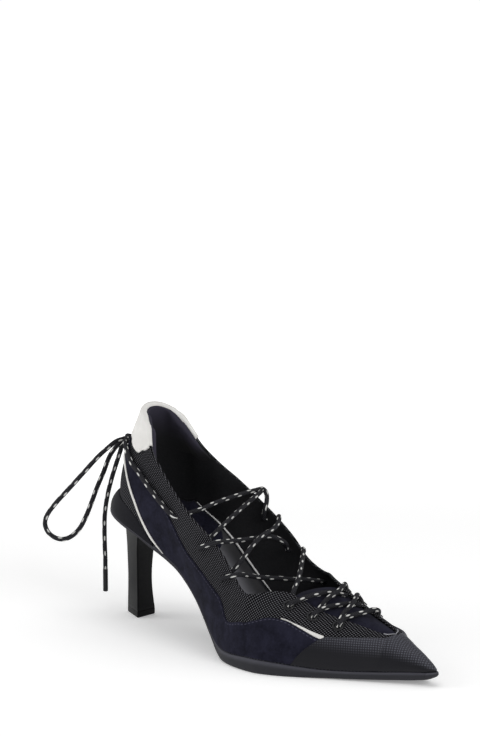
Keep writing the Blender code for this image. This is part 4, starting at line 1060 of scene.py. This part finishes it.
# Height and inset of each ring of the top piece.
TIP_RINGS = ((0.0, 0.5), (0.25, 0.2), (0.6, 0.0), (3.5, 0.0), (3.8, 0.1), (4.0, 0.35))
tip_back, tip_front, tip_half = HEEL_ROWS[0][1:]
bm = bmesh.new()
loft_piece(bm, [heel_ring(tip_back + inset, tip_front - inset, tip_half - inset, lambda x, z=z: z)
                for z, inset in TIP_RINGS])
finish_piece("heel_top_piece", bm, heel_lacquer, ["heel_tip"])

# Laces: one round braided polyester cord, black with pairs of white flecks, through the eyelets and the
# quarters' holes, crossed over the throat and run back along both sides to the knot behind the heel.
# Braided polyester: fine crossing black strands, painted lighter along their crests as a painted highlight,
# with clean white flecks set in pairs.
lace_cord, tree = new_material("black_braided_cord", Roughness=0.75, Specular_IOR_Level=0.1)
FLECK_PERIOD, FLECK_HALF, FLECK_LIMITS = 9.8, (0.056, 0.16), (1.15, 0.85)
FLECKS = ((0.0, 0.0), (0.22, -0.22), (0.5, 0.5), (0.72, 0.28))
cord_spot = add(tree, "UVMap", uv_map="surface")
per_period = add(tree, "VectorMath", cord_spot, (1.0, 1.0 / FLECK_PERIOD, 0.0), operation="MULTIPLY")
white_share = 0.0
for around_at, along_at in FLECKS:
    fleck = ovals(tree, per_period, (0.5 - around_at, 0.5 - along_at), FLECK_HALF, FLECK_LIMITS)
    white_share = add(tree, "Math", fleck, white_share, operation="MAXIMUM")
STRANDS, PLAIT_LENGTH = 8.0, 1.6
cord_parts = add(tree, "SeparateXYZ", cord_spot)
plaits = []
for hand in (1.0, -1.0):
    turn = add(tree, "Math", cord_parts.outputs["X"], 2 * math.pi * STRANDS, operation="MULTIPLY")
    turn = add(tree, "Math", cord_parts.outputs["Y"], hand * 2 * math.pi / PLAIT_LENGTH, turn,
               operation="MULTIPLY_ADD")
    plaits.append(add(tree, "Math", turn, operation="SINE"))
braid = add(tree, "Math", *plaits, operation="MAXIMUM")
strand_tone = add(tree, "MapRange", braid, -0.6, 1.0)
# painted highlight: the strands are lighter on their crests
black_part = add(tree, "Mix", strand_tone, "09090b", "343438", data_type="RGBA")
dress(tree, white_share, black_part, "d9d9d6", braid, 0.4, 0.3)

LACE_RADIUS, LACE_STEP, RIM_CLEAR = 1.45, 0.7, 0.9
OUT_LIFTS, IN_LIFTS, LIE_SHARE = (-3.2, -0.4), (-1.2, 0.8), 0.3
OUTER_HOLES = {"back": (73.9, 0.779), "middle": (95.3, 0.798), "front": (116.2, 0.805)}
INNER_HOLES = {"back": (90.0, 0.861), "middle": (108.7, 0.79), "front": (133.7, 0.81)}


def out_of(side, hole, u, v):
    """Points of a cord that comes out of a hole and lies down towards another place on the wall."""
    a, b = hole
    lying = on_skin(side, a + LIE_SHARE * (u - a), b + LIE_SHARE * (v - b), LACE_RADIUS)
    return [on_skin(side, a, b, lift) for lift in OUT_LIFTS] + [lying]


def into(side, hole, u, v):
    """The same on the inner face, listed towards the hole."""
    a, b = hole
    lying = on_skin(side, a + LIE_SHARE * (u - a), b + LIE_SHARE * (v - b), -(WALL + LACE_RADIUS))
    return [lying] + [on_skin(side, a, b, lift) for lift in IN_LIFTS]


def over_edge(side, u):
    """Point of a cord that crosses the top line at a station."""
    middle = skin(side, u, 1.0) - 0.5 * WALL * skin_normal(side, u, 1.0)
    return middle + (LACE_RADIUS + RIM_CLEAR) * rim_way(side, u)


STRAND_SHIFT, STRAND_TURN = 3.1, 0.13


def lace(name, strands):
    """Strands of the cord as one piece; the flecks start at another place on each."""
    bm = bmesh.new()
    for k, strand in enumerate(strands):
        lay_tube(bm, smooth_route(strand, LACE_STEP), LACE_RADIUS, start_mm=STRAND_SHIFT * k,
                 turn=STRAND_TURN * k)
    return finish_piece(name.replace("lace", "cord"), bm, lace_cord, [name])


lace("lace_bar_toe", [
    out_of(LATERAL, EYELETS["vamp_3"], 188.9, 0.95)
    + [(188.8, -9.4, 32.4), (189.7, -3.0, 33.0), (191.2, 5.0, 33.4), (192.0, 11.0, 33.7), (191.7, 15.4, 32.6)]
    + out_of(MEDIAL, EYELETS["vamp_3"], 190.0, 0.95)[::-1],
])
lace("lace_cross_1", [
    out_of(LATERAL, EYELETS["vamp_2"], 174.6, 0.93)
    + [(175.2, -13.0, 36.2), (177.2, -5.0, 36.6), (178.8, 4.0, 36.2), (180.0, 10.5, 34.8),
       (180.6, 14.0, 33.4)],
    [(186.2, -11.6, 30.6), (185.3, -6.0, 34.2), (183.6, 3.0, 37.4), (179.0, 11.5, 39.0), (175.2, 17.2, 38.4),
     (173.4, 20.6, 36.2)] + out_of(MEDIAL, EYELETS["vamp_2"], 173.6, 0.95)[1::-1],
])
lace("lace_cross_2", [
    out_of(LATERAL, EYELETS["vamp_1"], 162.6, 0.93)
    + [(164.4, -14.0, 41.2), (166.2, -4.0, 41.6), (167.2, 4.0, 40.9), (168.2, 10.0, 39.2),
       (169.2, 15.0, 37.4)],
    [(172.6, -14.0, 35.0), (171.6, -5.0, 39.6), (171.0, 4.0, 41.6), (167.6, 13.0, 42.8), (163.9, 19.2, 42.4),
     (161.4, 23.0, 40.6)] + out_of(MEDIAL, EYELETS["vamp_1"], 160.0, 0.95)[1::-1],
])
lace("lace_cross_3", [
    out_of(LATERAL, OUTER_HOLES["front"], 120.0, 0.90) + [over_edge(LATERAL, 123.4)]
    + [(124.6, -22.0, 48.4), (126.4, -11.0, 45.4), (128.9, -1.0, 43.6), (132.0, 9.0, 41.6),
       (135.0, 19.0, 40.0)]
    + into(MEDIAL, INNER_HOLES["front"], 132.0, 0.85),
    [(157.0, -19.5, 38.6), (155.4, -16.2, 43.0), (148.4, -4.0, 47.3), (139.0, 9.0, 50.9), (126.5, 25.0, 54.9),
     over_edge(MEDIAL, 119.6), on_skin(MEDIAL, 117.0, 0.90, 1.7),
     on_skin(MEDIAL, *INNER_HOLES["middle"], -1.0)],
])
lace("lace_cross_4", [
    out_of(LATERAL, OUTER_HOLES["middle"], 101.0, 0.90) + [on_skin(LATERAL, 103.4, 0.95, 1.7)]
    + [over_edge(LATERAL, 107.0), (106.7, -22.0, 65.8), (107.0, -8.0, 64.4), (108.8, 4.0, 64.0),
       (111.2, 13.0, 63.8), (113.2, 23.0, 58.6)] + into(MEDIAL, INNER_HOLES["middle"], 110.0, 0.85),
    into(LATERAL, OUTER_HOLES["front"], 116.6, 0.84)[::-1]
    + [(116.4, -19.0, 55.0), (114.4, -7.0, 61.8), (112.8, 4.0, 66.2), (111.4, 14.0, 67.8),
       (107.0, 24.0, 69.6), over_edge(MEDIAL, 100.6), on_skin(MEDIAL, 97.6, 0.93, 1.7),
       on_skin(MEDIAL, *INNER_HOLES["back"], -1.0)],
])
top_turn = (85.1, 34.0, 86.0)
lace("lace_cross_5", [
    into(LATERAL, OUTER_HOLES["back"], 75.0, 0.83)[::-1]
    + [(78.2, -12.0, 79.8), (78.8, -2.0, 81.7), (79.6, 9.0, 83.1), (81.6, 21.0, 84.7), (83.9, 30.5, 85.8)]
    + [top_turn],
    into(LATERAL, OUTER_HOLES["middle"], 95.0, 0.85)[::-1]
    + [(97.5, -20.0, 69.9), (94.9, -8.0, 73.9), (91.4, 6.0, 77.7), (88.5, 20.0, 81.7), (86.2, 30.0, 84.3)]
    + [top_turn],
    [(83.9, 30.5, 85.8), top_turn, (88.6, 33.4, 83.9), (91.8, 30.4, 80.0), (92.6, 27.8, 75.4)]
    + into(MEDIAL, INNER_HOLES["back"], 92.6, 0.93),
])

# Bow: the cord's two runs meet in a knot behind the heel, with a hanging loop and a hanging end on each
# side; each end is closed by a dark plastic aglet.
RUN_BACK = (
    (55.9, 0.707, 2.3), (47.7, 0.689, 2.4), (39.9, 0.631, 2.4), (31.8, 0.588, 2.4), (25.2, 0.618, 2.4),
    (18.5, 0.64, 2.5), (11.0, 0.635, 2.9), (4.0, 0.612, 3.6),
)
RUN_START = {
    LATERAL: ((72.4, 0.770, 1.5), (64.9, 0.734, 2.0)),
    MEDIAL: ((88.6, 0.842, 1.5), (82.0, 0.80, 1.6), (72.0, 0.755, 2.0), (64.0, 0.728, 2.2)),
}
RUN_HOLE = {LATERAL: OUTER_HOLES["back"], MEDIAL: INNER_HOLES["back"]}
RUN_LIFTS, EXIT_STEPS = (-3.2, -0.6), (-2.6, 0.5, 4.5)
KNOT_V, KNOT_LIFT = 0.56, 7.2
KNOT_SIZE = np.array((4.4, 5.8, 4.8))
KNOT_EXITS = {
    LATERAL: {"run": (0.5, -0.86, 0.0), "loop_out": (-0.33, -0.91, -0.2), "loop_back": (-0.92, 0.0, -0.39),
              "end": (-0.5, -0.42, -0.76)},
    MEDIAL: {"run": (0.5, 0.86, 0.0), "loop_out": (-0.3, 0.93, 0.12), "loop_back": (-0.55, 0.62, -0.55),
             "end": (-0.2, 0.1, -0.97)},
}
BOW_LOOPS = {
    LATERAL: (
        (0.0, -12.4, 109.6), (-2.2, -22.0, 103.0), (-6.0, -31.0, 93.6), (-11.9, -38.0, 83.6),
        (-19.1, -44.0, 73.2), (-23.4, -47.0, 65.6), (-23.7, -48.0, 60.1), (-20.3, -47.5, 55.0),
        (-14.2, -45.0, 52.2), (-9.1, -41.0, 53.3), (-5.8, -36.0, 58.1), (-5.6, -30.5, 64.8),
        (-6.6, -24.5, 73.0), (-8.0, -18.0, 82.2), (-8.6, -12.0, 90.6), (-8.4, -6.0, 101.1),
    ),
    MEDIAL: (
        (0.0, 17.5, 110.5), (-3.0, 30.0, 103.5), (-4.5, 41.0, 86.0), (-2.5, 45.5, 68.0), (1.0, 45.0, 58.5),
        (5.5, 40.5, 55.8), (6.8, 35.0, 61.5), (4.0, 27.5, 78.0), (1.0, 19.0, 95.0),
    ),
}
BOW_ENDS = {
    LATERAL: (
        (-0.8, -4.6, 104.4), (-5.4, -4.0, 95.4), (-10.2, -3.5, 85.3), (-14.9, -3.0, 73.2),
        (-17.0, -3.5, 60.6), (-16.9, -4.0, 46.4), (-16.4, -4.0, 32.2), (-16.4, -4.0, 25.4),
    ),
    MEDIAL: (
        (0.0, 6.0, 95.0), (-5.0, 10.5, 82.0), (-7.0, 13.0, 70.0), (-7.0, 15.5, 55.0), (-6.0, 17.0, 42.0),
        (-5.5, 17.0, 31.0), (-5.5, 17.0, 25.4),
    ),
}
knot_at = on_skin(LATERAL, BACK_U, KNOT_V, KNOT_LIFT)
KNOT_REACH, KNOT_DEPTH, KNOT_RISE, KNOT_DROP, KNOT_POINTS = 3.08, 1.9, 1.3, 0.4, 72
knot_route = []
for k in range(KNOT_POINTS):
    t = 2 * math.pi * k / KNOT_POINTS
    knot_route.append(knot_at + np.array((
        -KNOT_DEPTH * math.sin(3 * t), KNOT_REACH * (math.sin(t) + 2 * math.sin(2 * t)) / 3,
        KNOT_RISE * (math.cos(t) - 2 * math.cos(2 * t)) / 3 - KNOT_DROP)))
bm = bmesh.new()
lay_tube(bm, np.array(knot_route), LACE_RADIUS, closed=True)
finish_piece("cord_knot", bm, lace_cord, ["lace_knot"])


def knot_exit(side, way):
    """First points of a cord that leaves the knot."""
    out = np.array(KNOT_EXITS[side][way])
    out = out / np.linalg.norm(out)
    start = knot_at + out * KNOT_SIZE
    normal = out / KNOT_SIZE / np.linalg.norm(out / KNOT_SIZE)
    return [start + away * normal for away in EXIT_STEPS]


# Heat-shrunk acetate: dark and glossy, with a slight ripple from the cord inside.
aglet_plastic = grained("dark_acetate_aglet", "1b1a1d", "232226", 1.0, 0.1, Roughness=0.3,
                        Specular_IOR_Level=0.2)
AGLET_RADIUS, AGLET_LENGTH = 1.6, 14.6
# Height from the end of the cord and inset of each ring of an aglet.
AGLET_RINGS = ((0.4, 0.35), (0.0, 0.1), (-0.3, 0.0), (0.6 - AGLET_LENGTH, 0.0), (0.2 - AGLET_LENGTH, 0.15),
               (-AGLET_LENGTH, 0.6))
PATH_STEP = 6.0
for side, side_name in SIDES.items():
    run = [on_skin(side, *RUN_HOLE[side], lift) for lift in RUN_LIFTS]
    run += [on_skin(side, *row) for row in RUN_START[side] + RUN_BACK] + knot_exit(side, "run")[::-1]
    lace("lace_run_" + side_name, [run])
    loop = knot_exit(side, "loop_out") + list(BOW_LOOPS[side]) + knot_exit(side, "loop_back")[::-1]
    end = knot_exit(side, "end") + list(BOW_ENDS[side])
    loop_piece = lace("lace_loop_" + side_name, [loop])
    end_piece = lace("lace_end_" + side_name, [end])
    bm = bmesh.new()
    lay_tube(bm, np.array([end[-1] + np.array((0.0, 0.0, height)) for height, inset in AGLET_RINGS]),
             [AGLET_RADIUS - inset for height, inset in AGLET_RINGS], sides=18)
    aglet = finish_piece(side_name + "_aglet", bm, aglet_plastic, ["aglet_" + side_name])
    loop_path = smooth_route(loop[1:-1], PATH_STEP)
    end_path = smooth_route(end[1:], PATH_STEP)

# Studio: a plain white floor, an even white surround and three soft lamps, with the camera where it stood
# for the photograph.
# Lit white paper: gives an even white ground with a faint contact shadow.
white_floor, tree = new_material("lit_white_paper", Base_Color="fafafa", Roughness=0.95,
                                 Specular_IOR_Level=0.0, Emission_Color="ffffff")
from_shoe = add(tree, "VectorMath", add(tree, "TexCoord").outputs["Object"], operation="LENGTH")
floor_glow = add(tree, "MapRange", from_shoe, From_Min=0.35, From_Max=1.2, To_Min=0.25, To_Max=0.9,
                 interpolation_type="SMOOTHSTEP")
feed(tree, tree.nodes["Principled BSDF"], Emission_Strength=floor_glow)
FLOOR_HALF = 30.0
bm = bmesh.new()
bmesh.ops.create_grid(bm, x_segments=1, y_segments=1, size=FLOOR_HALF)
floor_mesh = bpy.data.meshes.new("floor")
bm.to_mesh(floor_mesh)
bm.free()
floor_mesh.materials.append(white_floor)
floor = bpy.data.objects.new("floor", floor_mesh)
bpy.context.scene.collection.objects.link(floor)
world = bpy.data.worlds.new("white_surround")
world.use_nodes = True
sky = world.node_tree
up_share = add(sky, "SeparateXYZ", add(sky, "TexCoord").outputs["Generated"]).outputs["Z"]
sky_light = add(sky, "MapRange", up_share, From_Min=0.05, From_Max=0.12, To_Min=1.02, To_Max=0.32,
                interpolation_type="SMOOTHSTEP")
feed(sky, sky.nodes["Background"], Color="ffffff", Strength=sky_light)
bpy.context.scene.world = world
# Name, kind, place, width (an angle for the sun, metres for a softbox) and power of each lamp.
LAMPS = (
    ("overhead_light", "SUN", (-0.15, 0.1, 1.0), 1.2, 0.9),
    ("left_softbox", "AREA", (-1.3, -0.9, 0.8), 0.9, 6.5),
    ("front_softbox", "AREA", (1.4, -0.2, 0.9), 0.7, 7.0),
)
LIT_SPOT = Vector((0.0, 0.0, 0.05))
for name, kind, place, width, power in LAMPS:
    data = bpy.data.lights.new(name, kind)
    if kind == "SUN":
        data.angle = width
    else:
        data.shape = "SQUARE"
        data.size = width
    data.energy = power
    lamp = bpy.data.objects.new(name, data)
    lamp.location = place
    lamp.rotation_euler = (LIT_SPOT - Vector(place)).to_track_quat("-Z", "Y").to_euler()
    bpy.context.scene.collection.objects.link(lamp)
CAMERA_AZIMUTH, CAMERA_PITCH, CAMERA_PLACE = math.radians(43.2), math.radians(8.06), (0.7558, -0.8550, 0.3319)
FOCAL_PIXELS, PHOTO_HEIGHT, SENSOR = 2000.0, 736.0, 36.0
camera_data = bpy.data.cameras.new("photo_camera")
camera_data.sensor_width = SENSOR
camera_data.lens = FOCAL_PIXELS * SENSOR / PHOTO_HEIGHT
camera = bpy.data.objects.new("photo_camera", camera_data)
camera.location = CAMERA_PLACE
camera.rotation_euler = (math.pi / 2 - CAMERA_PITCH, 0.0, CAMERA_AZIMUTH)
bpy.context.scene.collection.objects.link(camera)
bpy.context.scene.camera = camera
bpy.context.scene.view_settings.view_transform = "Standard"
